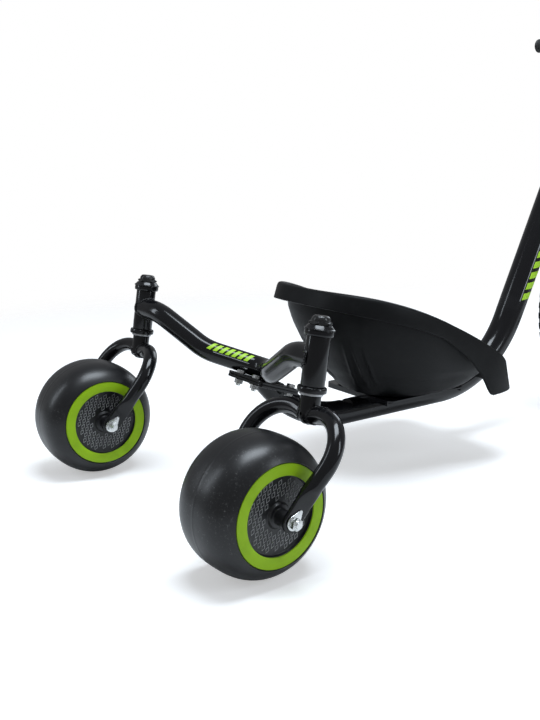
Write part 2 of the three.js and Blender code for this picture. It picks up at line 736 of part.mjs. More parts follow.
function seatShell() {
  const back = seatRearX;
  const nose = seatRearX + seatLength;
  const side = seatWidth / 2;
  const pan = bracketTop + gap;
  const bowl = (offset, lift) => bowlShares.map(([rear, front, half, backRound, frontRound, low, high]) => (
    seatRing(
      back + rear * seatLength - offset,
      nose - front * seatLength + offset,
      half * side + offset,
      backRound,
      frontRound,
      (share, across) => {
        const rise = low + (high - low) * share ** 2;
        return pan + lift + (rimHeight(share, across) - pan - lift) * rise;
      },
    )
  ));
  const rimRing = (inset, drop) => seatRing(
    back + inset, nose - inset - seatSkirtFront, side - inset, 2.7, 6,
    (share, across) => rimHeight(share, across) - drop,
  );
  const skirtRing = (inset) => seatRing(back + inset - seatFlare, nose - inset, side - inset, 2.7, 6, skirtHeight);
  const inner = bowl(0, seatWall);
  const outer = bowl(seatWall, 0).toReversed();
  return cut(
    lofted([
      ...inner,
      rimRing(seatRimWidth, 0),
      rimRing(seatWall, 0),
      rimRing(gap, seatWall),
      skirtRing(0),
      skirtRing(seatWall),
      rimRing(2 * seatWall, 2 * seatWall),
      ...outer,
    ]),
    ...seatBolts.map(([x, y]) => rod(seatBolt / 2 + gap, pan - overrun, pan + 3 * seatWall, 10).translate(x, y, 0)),
    mainTube(seatWall / 2),
  );
}

// Round-headed bolt with its nut run up below the bracket
function seatBoltSolid([x, y]) {
  const seatTop = bracketTop + gap + seatWall;
  const nutTop = bracketHeight - gap;
  const shank = seatTop + gap - nutTop + seatNutHeight + seatBoltTail;
  const bolt = turned([
    [0, -shank], [seatBolt / 2, -shank], [seatBolt / 2, 0], [seatHeadRadius, 0],
    [seatHeadRadius * 0.7, seatHeadHeight], [0, seatHeadHeight],
  ], 10).translate(0, 0, seatTop + gap);
  return joined(bolt, hexagon(seatNutFlats, nutTop - seatNutHeight, nutTop)).translate(x, y, 0);
}

trike.add(
  piece('seat_bracket', seatBracket(), blackPaint),
  piece('seat_shell', seatShell(), blackPlastic),
  ...seatBolts.map((place, k) => piece(`seat_bolt_${k + 1}`, seatBoltSolid(place), zinc)),
);

// Steering: a two-legged fork with bearing rings at its ends, a quill stem and a low riser bar
const frontSteererTube = 28.6;
const frontSteererBore = 23;
const frontForkTube = 25.4;
const frontForkTip = 21;
const frontLegSpread = 62;
const frontCrownDrop = 30; // legs leave the steerer this far below the head tube
const frontLegBend = 42;
const frontStubTube = 36;
const frontStubLength = 34;
const bearingHousing = 44;
const bearingOuter = 32;
const bearingWidth = 12;
const housingWidth = 14;
const crankAxle = 17;
const frontBoreRadius = headTube / 2 - headWall;
const frontSteererTop = 26; // steerer stands this far out of the head tube
const frontNutFlats = 36;
const frontNutHeight = 9;

const steering = new THREE.Group();
steering.position.set(steeringX, 0, steeringZ);
steering.rotation.y = -steeringLean;
const headTop = headFoot + headTubeLength;

function frontFork() {
  const crown = headFoot - frontCrownDrop;
  const tipRadius = frontForkTip / 2;
  const path = bentPath([
    new THREE.Vector3(0, 0, crown),
    new THREE.Vector3(0, frontLegSpread, crown - frontStubLength / 4),
    new THREE.Vector3(forkRake, frontLegSpread, 0),
  ], [frontLegBend]);
  const round = frontForkTube / 2;
  const stops = [
    ...bendShares(path, 3).slice(0, -1).map((share) => [share, round, round, 2]),
    [0.6, round, round, 2],
    [1, tipRadius, tipRadius, 2],
  ];
  const leg = shapedTube(path, axisX, stops, 10);
  const stubTopZ = headFoot - cupHeight - coneStart / 2;
  const steererRound = frontSteererTube / 2;
  const steerer = turned([
    [0, stubTopZ - frontStubLength], [frontStubTube / 2, stubTopZ - frontStubLength],
    [frontStubTube / 2, stubTopZ], [steererRound, stubTopZ],
    [steererRound, headTop + frontSteererTop], [0, headTop + frontSteererTop],
  ], 12);
  const [housingStart, housingEnd] = [-1, 1].map((way) => frontLegSpread + (way * housingWidth) / 2);
  const housing = acrossY(rod(bearingHousing / 2, housingStart, housingEnd, 14)).translate(forkRake, 0, 0);
  const bearingBore = acrossY(rod(bearingOuter / 2 + gap, -frontLegSpread * 2, frontLegSpread * 2, 14))
    .translate(forkRake, 0, 0);
  const quillBore = rod(frontSteererBore / 2, headFoot, headTop + frontSteererTop + overrun, 12);
  const mirror = (geometry) => geometry.clone().scale(1, -1, 1);
  const whole = joined(steerer, leg, mirror(leg), housing, mirror(housing));
  return cut(whole, bearingBore, quillBore);
}

function frontBearing(side) {
  const bearing = acrossY(ringed(crankAxle / 2 + gap, bearingOuter / 2, -bearingWidth / 2, bearingWidth / 2, 14));
  return bearing.translate(forkRake, side * frontLegSpread, 0);
}

const frontCup = ballCup(headTube, frontBoreRadius);
const frontRaceTop = cupHeight + coneStart / 2 - gap;
const frontRace = ringed(frontSteererTube / 2 + gap, trackRadius(headTube) + ballRadius, coneStart, frontRaceTop, 12);
const frontNutBase = coneStart + coneHeight + gap;
const frontNut = hexNut(frontNutFlats, frontSteererTube / 2 + gap, frontNutBase, frontNutBase + frontNutHeight);

const quillTube = 22;
const quillDepth = 60; // below the top of the steerer
const stemHeight = 40; // clamp's centre above the steerer
const stemReach = 55;
const stemNeck = 30;
const clampTube = 35;
const clampWidth = 42;
const earLength = 16;
const earThickness = 15;
const clampSlit = 2.5;
const expanderFlats = 13;
const expanderHeight = 6;
const pinchBolt = 6;
const pinchFlats = 10;
const clampZ = headTop + frontSteererTop + stemHeight;

function stem() {
  const steererEnd = headTop + frontSteererTop;
  const quill = rod(quillTube / 2, steererEnd - quillDepth, clampZ, 12);
  const neck = rod(stemNeck / 2, steererEnd + 2 * gap, clampZ + stemNeck / 2, 12);
  const arm = shapedTube(
    new THREE.LineCurve3(new THREE.Vector3(0, 0, clampZ), new THREE.Vector3(stemReach, 0, clampZ)),
    axisY,
    [[0, stemNeck / 2, stemNeck / 2 - gap, 3], [1, stemNeck / 2 - gap, stemNeck / 2.5, 3]],
    12,
  );
  const clamp = acrossY(rod(clampTube / 2, -clampWidth / 2, clampWidth / 2, 14)).translate(stemReach, 0, clampZ);
  const ears = block(earLength + clampTube / 2, clampWidth / 2, earThickness)
    .translate(stemReach + (earLength + clampTube / 2) / 2, 0, clampZ);
  const barBore = acrossY(rod(handlebarTube / 2 + gap, -clampWidth, clampWidth, 14)).translate(stemReach, 0, clampZ);
  const slit = block(clampTube + earLength, clampWidth * 2, clampSlit)
    .translate(stemReach + (clampTube + earLength) / 2, 0, clampZ);
  const x = stemReach + clampTube / 2 + earLength / 2;
  const half = earThickness / 2;
  const pinch = rod(pinchBolt / 2, clampZ - half - seatNutHeight, clampZ + half, 10).translate(x, 0, 0);
  const pinchHead = hexagon(pinchFlats, clampZ + half - gap, clampZ + half + pinchBolt * 0.7).translate(x, 0, 0);
  const pinchNut = hexagon(pinchFlats, clampZ - half - seatNutHeight, clampZ - half + gap).translate(x, 0, 0);
  const top = clampZ + stemNeck / 2;
  const expander = hexagon(expanderFlats, top - gap, top + expanderHeight);
  const body = cut(joined(quill, neck, arm, clamp, ears), barBore, slit);
  return joined(body, pinch, pinchHead, pinchNut, expander);
}

const barShoulder = 42; // where the bar turns up, from the middle
const barBend = 30;
const gripTube = 31;
const gripLength = 84;
const barStraight = 24; // corner where the bar turns out, to the grip
const gripFlange = 40;
const gripEndWall = 2.5;

const barCorner = handlebarWidth / 2 - gripLength - barStraight;

function handlebar() {
  const half = [
    [0, handlebarWidth / 2 - gripEndWall, handlebarRise], [0, barCorner, handlebarRise], [0, barShoulder, 0],
  ];
  const left = half.map(([x, y, z]) => new THREE.Vector3(x, y, z));
  const right = half.toReversed().map(([x, y, z]) => new THREE.Vector3(x, -y, z));
  const path = bentPath([...left, ...right], [barBend, barBend, barBend, barBend]);
  return roundTube(path, handlebarTube / 2, axisX, 3, 12);
}

function grip() {
  const inner = handlebarTube / 2 + gap;
  const end = handlebarWidth / 2;
  const start = end - gripLength;
  return acrossY(turned([
    [inner, start], [gripFlange / 2, start], [gripFlange / 2, start + 3 * gripEndWall / 2],
    [gripTube / 2, start + 2.5 * gripEndWall], [gripTube / 2, end - gripEndWall], [gripTube / 2 - gripEndWall, end],
    [0, end], [0, end - gripEndWall + gap], [inner, end - gripEndWall + gap], [inner, start],
  ], 16)).translate(0, 0, handlebarRise);
}

const bar = new THREE.Group();
bar.position.set(stemReach, 0, clampZ);
bar.rotation.y = steeringLean;
bar.add(
  piece('handlebar', handlebar(), blackPaint),
  piece('grip_right', grip(), rubber),
  piece('grip_left', grip().scale(1, -1, 1), rubber),
);

steering.add(
  piece('front_fork', frontFork(), blackPaint),
  piece('front_bearing_left', frontBearing(1), steel),
  piece('front_bearing_right', frontBearing(-1), steel),
  piece('front_upper_cup', frontCup.clone().translate(0, 0, headTop), blackPaint),
  piece('front_lower_cup', frontCup.clone().scale(1, 1, -1).translate(0, 0, headFoot), blackPaint),
  piece('front_cone', turned(coneProfile(headTube, frontSteererTube / 2), 12).translate(0, 0, headTop), blackPaint),
  piece('front_crown_race', frontRace.clone().scale(1, 1, -1).translate(0, 0, headFoot), steel),
  piece('front_lock_nut', frontNut.translate(0, 0, headTop), zinc),
  piece('stem', stem(), blackPaint),
  bar,
);

// Front wheel: a tyre on a deep rim, carried by a five-spoked centre that is keyed to the crank axle
const tyreHeight = 40; // edge of the rim to the tread
const tyreBead = 6; // the tyre's seat in the rim, below the rim's edge
const rimDepth = 17;
const rimWidth = 40;
const rimFlange = 3;
const spokeCount = 5;
const spokeRoot = 17;
const spokeEnd = 11;
const hubTube = 52;
const hubWidth = 62;
const hubSleeve = 27;
const axleOverhang = 104;
const axleTip = 12;
const crankSpread = 87; // wheel's mid-plane to a crank arm's
const crankThickness = 12;
const crankRoot = 15;
const crankEnd = 11;
const crankBoss = 15;
const crankNutFlats = 17;
const crankNutHeight = 7;
const spindleRoot = 14;
const spindleTube = 10;
const pedalGap = 5; // crank arm to pedal
const pedalLength = 92;
const pedalWidth = 88;
const pedalThickness = 22;
const pedalRail = 10;
const pedalBarrel = 22;
const pedalCorner = 12;

const rimEdge = frontRadius - tyreHeight;
const rimBed = rimEdge - tyreBead;
const rimInner = rimEdge - rimDepth;

function tyre() {
  const half = frontTyreWidth / 2;
  const beadHalf = rimWidth / 2 - rimFlange - gap;
  const sideShares = [[0.1, 0.86], [0.42, 1], [0.7, 0.86], [0.92, 0.5]];
  const side = sideShares.map(([up, out]) => [rimEdge + gap + (tyreHeight - gap) * up, half * out]);
  const upper = [[rimBed + gap, beadHalf - rimFlange], [rimEdge + gap, beadHalf], ...side];
  const lower = upper.toReversed().map(([r, z]) => [r, -z]);
  return acrossY(turned([...upper, [frontRadius, 0], ...lower, upper[0]], 32));
}

function rim() {
  const half = rimWidth / 2;
  const upper = [
    [rimInner, half - 2 * rimFlange], [rimInner + 2 * rimFlange, half], [rimEdge, half],
    [rimEdge, half - rimFlange], [rimBed, half - 2 * rimFlange],
  ];
  const lower = upper.toReversed().map(([r, z]) => [r, -z]);
  return acrossY(turned([...upper, ...lower, upper[0]], 32));
}

function wheelCentre() {
  const end = rimInner - 5 * gap;
  const spoke = (k) => {
    const angle = (2 * Math.PI * k) / spokeCount + Math.PI / 2;
    const out = new THREE.Vector3(Math.cos(angle), 0, Math.sin(angle));
    const line = new THREE.LineCurve3(out.clone().multiplyScalar(hubTube / 4), out.clone().multiplyScalar(end));
    const [root, tip] = [rimWidth / 2, rimWidth / 2 - 2 * rimFlange];
    return shapedTube(line, axisY, [
      [0, root, spokeRoot, 4], [0.3, root * 0.8, (spokeRoot + spokeEnd) / 2, 3.5],
      [0.8, tip * 0.8, spokeEnd, 3.5], [1, tip, spokeEnd * 1.4, 3.5],
    ], 8);
  };
  const bossEnd = frontLegSpread - housingWidth / 2 - gap;
  const hub = turned([
    [0, -bossEnd], [hubSleeve / 2, -bossEnd], [hubSleeve / 2, -hubWidth / 2], [hubTube / 2, -hubWidth / 2 + rimFlange],
    [hubTube / 2, hubWidth / 2 - rimFlange], [hubSleeve / 2, hubWidth / 2], [hubSleeve / 2, bossEnd], [0, bossEnd],
  ], 14);
  const bore = acrossY(rod(crankAxle / 2 + gap, -axleOverhang, axleOverhang, 12));
  return cut(joined(acrossY(hub), ...Array.from({ length: spokeCount }, (_, k) => spoke(k))), bore);
}

// Axle through the wheel, with the nut that holds the crank run on at each end
function frontAxle() {
  const end = crankSpread + crankThickness / 2 + gap;
  const nuts = [[-end - crankNutHeight, -end], [end, end + crankNutHeight]];
  const nutSolids = nuts.map(([low, high]) => hexagon(crankNutFlats, low, high));
  const tips = rod(axleTip / 2, -axleOverhang, axleOverhang, 12);
  return acrossY(joined(rod(crankAxle / 2, -end, end), tips, ...nutSolids));
}

// Crank arm that points up on the left and down on the right
function crank(side) {
  const low = crankSpread - crankThickness / 2;
  const line = new THREE.LineCurve3(
    new THREE.Vector3(0, side * crankSpread, 0),
    new THREE.Vector3(0, side * crankSpread, side * crankLength),
  );
  const thin = crankThickness / 2 - gap;
  const arm = shapedTube(line, axisX, [[0, crankRoot * 0.8, thin, 4], [1, crankEnd * 0.8, thin - gap, 4]], 12);
  const bossStart = frontLegSpread + housingWidth / 2 + 2 * gap;
  const boss = acrossY(rod(crankBoss, side * bossStart, side * (low + crankThickness)));
  const eye = acrossY(rod(crankEnd, side * low, side * (low + crankThickness), 14)).translate(0, 0, side * crankLength);
  const bore = acrossY(rod(crankAxle / 2 + gap, -axleOverhang, axleOverhang, 14));
  const eyeBore = acrossY(rod(spindleRoot / 2 + gap, -axleOverhang, axleOverhang, 12)).translate(0, 0, side * crankLength);
  return cut(joined(arm, boss, eye), bore, eyeBore);
}

const pedalStart = crankSpread + crankThickness / 2 + pedalGap;

function spindle(side) {
  const low = crankSpread - crankThickness / 2;
  const neck = pedalStart - gap;
  const end = pedalStart + pedalWidth - pedalRail / 2;
  return acrossY(turned([
    [0, side * low], [spindleRoot / 2, side * low], [spindleRoot / 2, side * neck],
    [spindleTube / 2, side * neck], [spindleTube / 2, side * end], [0, side * end],
  ], 12)).translate(0, 0, side * crankLength);
}

function pedal(side) {
  const half = pedalLength / 2;
  const shape = new THREE.Shape([
    [-half + pedalCorner, 0], [half - pedalCorner, 0], [half, pedalCorner], [half, pedalWidth - pedalCorner],
    [half - pedalCorner, pedalWidth], [-half + pedalCorner, pedalWidth], [-half, pedalWidth - pedalCorner],
    [-half, pedalCorner],
  ].map(([x, y]) => new THREE.Vector2(x, y)));
  const inner = pedalBarrel / 2 + gap;
  for (const way of [1, -1]) {
    const window = [
      [inner, pedalRail], [half - pedalRail, pedalRail + pedalCorner / 2],
      [half - pedalRail, pedalWidth - pedalRail - pedalCorner / 2], [inner, pedalWidth - pedalRail],
    ];
    shape.holes.push(new THREE.Path(window.map(([x, y]) => new THREE.Vector2(way * x, y))));
  }
  const settings = { depth: pedalThickness, bevelEnabled: false };
  const body = new THREE.ExtrudeGeometry(shape, settings).translate(0, 0, -pedalThickness / 2);
  const bore = acrossY(rod(spindleTube / 2 + 2 * gap, -overrun, pedalWidth - pedalRail / 2 + 2 * gap, 12));
  return cut(body, bore).scale(1, side, 1).translate(0, side * pedalStart, side * crankLength);
}

const frontWheel = new THREE.Group();
frontWheel.position.set(forkRake, 0, 0);
frontWheel.rotation.y = steeringLean;
frontWheel.add(
  piece('front_tyre', tyre(), rubber),
  piece('front_rim', rim(), blackPaint),
  piece('front_wheel_centre', wheelCentre(), wheelPlastic),
  piece('crank_axle', frontAxle(), steel),
  piece('crank_left', crank(1), blackPaint),
  piece('crank_right', crank(-1), blackPaint),
  piece('pedal_spindle_left', spindle(1), steel),
  piece('pedal_spindle_right', spindle(-1), steel),
  piece('pedal_left', pedal(1), blackPlastic),
  piece('pedal_right', pedal(-1), blackPlastic),
);
steering.add(frontWheel);
trike.add(steering);

// The trike's own origin is on the ground, midway between its hindmost and foremost points
trike.position.x = -(rearWheelX - rearRadius + frontWheelX + frontRadius) / 2;

export default trike;
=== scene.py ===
import math

import bmesh
import bpy
import numpy as np
from mathutils import Matrix, Vector


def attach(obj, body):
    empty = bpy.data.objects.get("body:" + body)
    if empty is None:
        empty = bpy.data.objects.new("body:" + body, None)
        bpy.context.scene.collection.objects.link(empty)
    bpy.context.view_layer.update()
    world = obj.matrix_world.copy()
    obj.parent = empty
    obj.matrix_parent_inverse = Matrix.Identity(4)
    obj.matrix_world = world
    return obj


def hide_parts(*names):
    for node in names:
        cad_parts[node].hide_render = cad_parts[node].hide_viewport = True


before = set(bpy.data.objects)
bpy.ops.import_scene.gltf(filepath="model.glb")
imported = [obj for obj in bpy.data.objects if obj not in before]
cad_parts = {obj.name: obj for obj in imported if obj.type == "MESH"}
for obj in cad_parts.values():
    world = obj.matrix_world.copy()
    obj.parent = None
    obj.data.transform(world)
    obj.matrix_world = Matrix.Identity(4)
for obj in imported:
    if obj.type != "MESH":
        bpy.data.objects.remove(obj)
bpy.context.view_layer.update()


# Studio: a pale floor with soft boxes above and beside a small trike, and a camera behind its right rear
# wheel. The background is the floor's and the world's own white, so the lamps only light the trike.
scene = bpy.context.scene
scene.view_settings.view_transform = "Standard"
camera_yaw, camera_pitch = 0.9535, 0.2286
forward = Vector((
    math.cos(camera_yaw) * math.cos(camera_pitch),
    math.sin(camera_yaw) * math.cos(camera_pitch),
    -math.sin(camera_pitch),
))
rightward = Vector((math.sin(camera_yaw), -math.cos(camera_yaw), 0))
upward = rightward.cross(forward)
camera = bpy.data.objects.new("camera", bpy.data.cameras.new("camera"))
camera.data.lens = 45
camera.data.sensor_width = 36
camera.matrix_world = Matrix((rightward, upward, -forward)).transposed().to_4x4()
camera.location = (-1.35801, -1.25839, 0.59181)
scene.collection.objects.link(camera)
scene.camera = camera

world = bpy.data.worlds.new("studio")
world.use_nodes = True
scene.world = world
studio_level, mirrored_share = 0.22, 0.08
paths = world.node_tree.nodes.new("ShaderNodeLightPath")
seen = world.node_tree.nodes.new("ShaderNodeMath")
seen.operation = "MAXIMUM"
reflected = world.node_tree.nodes.new("ShaderNodeMath")
reflected.operation = "MULTIPLY_ADD"
reflected.inputs[1].default_value = mirrored_share
shown = world.node_tree.nodes.new("ShaderNodeMixShader")
around = world.node_tree.nodes["Background"]
around.inputs["Color"].default_value = (0.93, 0.96, 1, 1)
around.inputs["Strength"].default_value = studio_level
white = world.node_tree.nodes.new("ShaderNodeBackground")
white.inputs["Color"].default_value = (1, 1, 1, 1)
for source, target in [
    (paths.outputs["Is Camera Ray"], seen.inputs[0]),
    (paths.outputs["Is Transmission Ray"], seen.inputs[1]),
    (paths.outputs["Is Glossy Ray"], reflected.inputs[0]),
    (seen.outputs[0], reflected.inputs[2]),
    (reflected.outputs[0], shown.inputs[0]),
    (around.outputs[0], shown.inputs[1]),
    (white.outputs[0], shown.inputs[2]),
    (shown.outputs[0], world.node_tree.nodes["World Output"].inputs["Surface"]),
]:
    world.node_tree.links.new(source, target)

for name, place, size, power, aim in [
    ("overhead_box", (-0.4, -0.3, 2.5), (1.5, 1.0), 60, (-0.3, 0, 0.2)),
    ("left_box", (-2.6, 1.4, 1.5), (0.35, 1.6), 13, (-0.5, 0, 0.2)),
    ("right_box", (0.9, -2.4, 1.5), (0.4, 1.6), 20, (-0.2, 0, 0.3)),
    ("front_box", (2.4, 1.2, 1.6), (1.2, 1.6), 18, (0.2, 0, 0.3)),
]:
    lamp = bpy.data.objects.new(name, bpy.data.lights.new(name, "AREA"))
    lamp.data.shape = "RECTANGLE"
    lamp.data.size, lamp.data.size_y = size
    lamp.data.color = (0.84, 0.92, 1)
    lamp.data.energy = power
    lamp.location = place
    lamp.rotation_euler = (Vector(aim) - Vector(place)).to_track_quat("-Z", "Y").to_euler()
    scene.collection.objects.link(lamp)


class Signal:
    """A value in a finish. Arithmetic on it adds Math nodes."""

    def __init__(self, finish, socket):
        self.finish = finish
        self.socket = socket

    def math(self, operation, *values):
        return self.finish.node("Math", {"operation": operation}, values)

    def __add__(self, other):
        return self.math("ADD", self, other)

    def __sub__(self, other):
        return self.math("SUBTRACT", self, other)

    def __rsub__(self, other):
        return self.math("SUBTRACT", other, self)

    def __mul__(self, other):
        return self.math("MULTIPLY", self, other)

    __radd__ = __add__
    __rmul__ = __mul__


class Finish:
    """A material for one of the trike's finishes, and the record's slot that it stands for."""

    def __init__(self, name, slot=None):
        self.material = bpy.data.materials.new(name)
        self.material.use_nodes = True
        self.slot = slot
        self.tree = self.material.node_tree
        self.shader = self.tree.nodes["Principled BSDF"]

    def node(self, kind, settings=None, sockets=None, output=0):
        made = self.tree.nodes.new("ShaderNode" + kind)
        for key, value in (settings or {}).items():
            setattr(made, key, value)
        named = sockets.items() if isinstance(sockets, dict) else enumerate(sockets or [])
        for key, value in named:
            self.connect(made.inputs[key], value)
        return Signal(self, made.outputs[output])

    def connect(self, socket, value):
        if isinstance(value, Signal):
            self.tree.links.new(value.socket, socket)
        else:
            socket.default_value = value

    def feed(self, **values):
        for key, value in values.items():
            self.connect(self.shader.inputs[key.replace("_", " ")], value)

    def place(self):
        return self.node("TexCoord", output="Object")

    def noise(self, scale, detail, rough=0.55):
        sockets = {"Vector": self.place(), "Scale": scale, "Detail": detail, "Roughness": rough}
        return self.node("TexNoise", None, sockets)

    def step(self, value, low, high):
        return self.node("MapRange", {"interpolation_type": "SMOOTHSTEP"}, {0: value, 1: low, 2: high})

    def mix(self, share, first, second):
        sockets = {0: share, 6: first, 7: second}
        return self.node("Mix", {"data_type": "RGBA"}, sockets, 2)

    def bump(self, height, distance, strength, normal=None):
        sockets = {"Height": height, "Distance": distance, "Strength": strength}
        if normal:
            sockets["Normal"] = normal
        return self.node("Bump", None, sockets)


floor_radius, floor_fade_start, floor_fade_end, floor_white = 2.5, 1.3, 2.3, 0.42
floor_finish = Finish("pale_floor")
floor_seen = floor_finish.node("LightPath")
floor_run = floor_finish.node("VectorMath", {"operation": "LENGTH"}, [floor_finish.place()], "Value")
floor_finish.feed(
    Base_Color=(0.86, 0.86, 0.86, 1),
    Roughness=0.7,
    Alpha=1 - floor_finish.step(floor_run, floor_fade_start, floor_fade_end),
    Emission_Color=(1, 1, 1, 1),
    Emission_Strength=floor_seen * floor_white,
)
bpy.ops.mesh.primitive_circle_add(
    vertices=96, radius=floor_radius, fill_type="NGON", location=(0, 0, -0.0005),
)
floor = bpy.context.object
floor.name = "floor"
floor.data.materials.append(floor_finish.material)


# Headsets: pressed steel cups in the ends of the two swivel tubes and of the head tube, each with its balls,
# a threaded cone above and a crown race below. The cups and cones have the frame's gloss black paint, and the
# races and balls are bare turned steel.
def dusty(finish, colour, dust, share, scale=9):
    veil = finish.step(finish.noise(scale, 5, 0.62), 0.48, 0.78) * share
    return finish.mix(veil, (*colour, 1), (*dust, 1)), veil


black_paint = Finish("gloss_black_paint", "black_paint")
paint_colour, paint_veil = dusty(black_paint, (0.0045, 0.0045, 0.0055), (0.026, 0.026, 0.027), 0.3)
black_paint.feed(
    Base_Color=paint_colour,
    Roughness=0.2 + paint_veil * 0.5,
    Specular_IOR_Level=0.12,
    Coat_Weight=0.5,
    Coat_Roughness=0.1,
    Normal=black_paint.bump(black_paint.noise(160, 2), 0.0002, 0.25),
)

steel = Finish("turned_steel", "steel")
turning = steel.noise(500, 3)
steel.feed(
    Base_Color=steel.mix(turning, (0.3, 0.3, 0.31, 1), (0.56, 0.57, 0.58, 1)),
    Metallic=1.0,
    Roughness=0.22 + turning * 0.2,
    Normal=steel.bump(turning, 0.00006, 0.6),
)


mm = 0.001
sharp_angle = math.radians(38)


def smoothed(piece):
    piece.data.shade_smooth()
    piece.data.set_sharp_from_angle(angle=sharp_angle)


def finished(piece, finish):
    piece.data.materials.clear()
    piece.data.materials.append(finish.material)


def skin(work, rings, closed):
    """Faces through rings of points, with the run round and along them as the UV map."""
    rings = np.asarray(rings, float)
    count, sides = rings.shape[:2]
    around_run = np.linalg.norm(np.roll(rings, -1, axis=1) - rings, axis=2).mean(axis=0)
    u = np.concatenate([[0], np.cumsum(around_run)])
    along_run = np.linalg.norm(np.diff(rings, axis=0), axis=2).mean(axis=1)
    v = np.concatenate([[0], np.cumsum(along_run)])
    uv = work.loops.layers.uv.verify()
    verts = [[work.verts.new(point) for point in ring] for ring in rings]
    for r in range(count if closed else count - 1):
        after = (r + 1) % count
        last = v[r + 1] if r + 1 < count else v[r]
        for k in range(sides):
            corners = [(r, k, 0), (r, k + 1, 0), (after, k + 1, 1), (after, k, 1)]
            face = work.faces.new([verts[a][b % sides] for a, b, _ in corners])
            for loop, (_, b, end) in zip(face.loops, corners):
                loop[uv].uv = (u[b], last if end else v[r])
    if not closed:
        work.faces.new(list(reversed(verts[0])))
        work.faces.new(verts[-1])


def skinned(name, runs, body, finish, closed=False, replaces=()):
    """A piece from one or more runs of rings, in the frame's metres."""
    work = bmesh.new()
    for rings in runs:
        skin(work, rings, closed)
    bmesh.ops.remove_doubles(work, verts=work.verts, dist=1e-6)
    bmesh.ops.recalc_face_normals(work, faces=work.faces)
    mesh = bpy.data.meshes.new(name)
    work.to_mesh(mesh)
    work.free()
    piece = bpy.data.objects.new(name, mesh)
    scene.collection.objects.link(piece)
    finished(piece, finish)
    smoothed(piece)
    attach(piece, body)
    if replaces:
        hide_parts(*replaces)
    return piece


def rounded(outline, steps):
    """Corners (x, y, radius) of an outline, with each corner turned into an arc of that radius."""
    points = [np.array(corner[:2], float) for corner in outline]
    made = []
    for k, corner in enumerate(outline):
        radius = corner[2] if len(corner) > 2 else 0
        before, here, after = points[k - 1], points[k], points[(k + 1) % len(points)]
        if not radius:
            made.append(here)
            continue
        a, b = before - here, after - here
        room = min(np.linalg.norm(a), np.linalg.norm(b))
        a, b = a / np.linalg.norm(a), b / np.linalg.norm(b)
        half = math.acos(max(-1, min(1, float(a @ b)))) / 2
        reach = min(radius / math.tan(half), room * 0.49)
        for t in np.linspace(0, 1, steps + 1):
            made.append(here + a * reach * (1 - t) ** 2 + b * reach * t ** 2)
    return made


def turned(name, outline, place, body, finish, sides=64, steps=4, replaces=()):
    """A turned piece: an outline of (radius, height, corner radius) in millimetres, spun about place's Z."""
    profile = np.array(rounded(outline, steps))
    angles = np.linspace(0, 2 * math.pi, sides, endpoint=False)
    spin = np.stack([np.cos(angles), np.sin(angles)])
    rings = [
        [place @ Vector((r * c * mm, r * s * mm, z * mm)) for c, s in spin.T]
        for r, z in profile
    ]
    return skinned(name, [rings], body, finish, closed=True, replaces=replaces)


row_origin = Matrix.Translation((-0.565887, 0, 0))
swivel_lean, swivel_turn = math.radians(8.9), math.radians(3)
swivel_height = 74
swivel_tube, swivel_bore, caster_steerer = 18, 15.2, 12.7
swivel_feet = {"left": Vector((-11.448, 264.5, 259.356)), "right": Vector((-11.448, -264.5, 259.356))}
swivels, casters = {}, {}
for side, word in ((1, "left"), (-1, "right")):
    foot = row_origin @ Matrix.Translation(swivel_feet[word] * mm)
    swivels[word] = foot @ Matrix.Rotation(swivel_lean, 4, "Y")
    casters[word] = swivels[word] @ Matrix.Rotation(-side * swivel_turn, 4, "Z")
steering_lean = math.radians(12)
steering_foot = Vector((1071.543, 0, 247.763))
steering = row_origin @ Matrix.Translation(steering_foot * mm) @ Matrix.Rotation(-steering_lean, 4, "Y")
head_tube_outer, head_tube_bore, front_steerer, front_race = 21, 17.4, 14.3, 20.9
head_foot, head_length = 330, 112
lift = lambda height: Matrix.Translation((0, 0, height * mm))
upside_down = Matrix.Scale(-1, 4, (0, 0, 1))
ball, clearance = 2.1, 0.3


def headset(word, tube, bore, steerer, upper, lower, upper_still, fork_body, names):
    """Cups, balls and cone. tube, bore and steerer are radii; names are the CAD pieces they stand for."""
    upper_cup, lower_cup, cone = names
    track, inner = tube - ball, steerer + clearance
    cup = [
        (bore - 2.1, -8), (bore - clearance, -8), (bore - clearance, 0.3), (tube + 3.4, 0.3, 1.2),
        (tube + 4.2, 3, 1), (tube + 3.9, 8.5, 0.6), (tube + 2.2, 8.5, 0.6), (tube + 1.6, 4, 1),
        (bore - 2.1, 4, 0.5),
    ]
    for name, place in ((upper_cup, upper_still), (lower_cup, lower @ upside_down)):
        turned(name + "_pressing", cup, place, "frame", black_paint, replaces=[name])
    balls = [
        (track - ball, 4.2, 1), (track + ball, 4.2, 1), (track + ball, 8.3, 1.6), (track - ball, 8.3, 1.6),
    ]
    for end, place in (("upper", upper_still), ("lower", lower @ upside_down)):
        turned(f"{word}_{end}_balls", balls, place, "frame", steel, sides=48)
    turned(cone + "_turning", [
        (inner, 8.6), (track, 8.6, 0.4), (tube + 5.2, 8.8, 0.5), (tube + 5.2, 10.4, 0.6),
        (tube + 3.4, 11.6, 1.5), (track + 1.8, 16, 0.8), (inner, 16, 0.3),
    ], upper, fork_body, black_paint, replaces=[cone])


def crown_race(name, outer, steerer, place, body):
    inner = steerer + clearance
    turned(name + "_turning", [
        (inner, 8.6), (outer, 8.6, 0.6), (outer, 12.4, 0.6), (inner, 12.4),
    ], place @ upside_down, body, steel, replaces=[name])


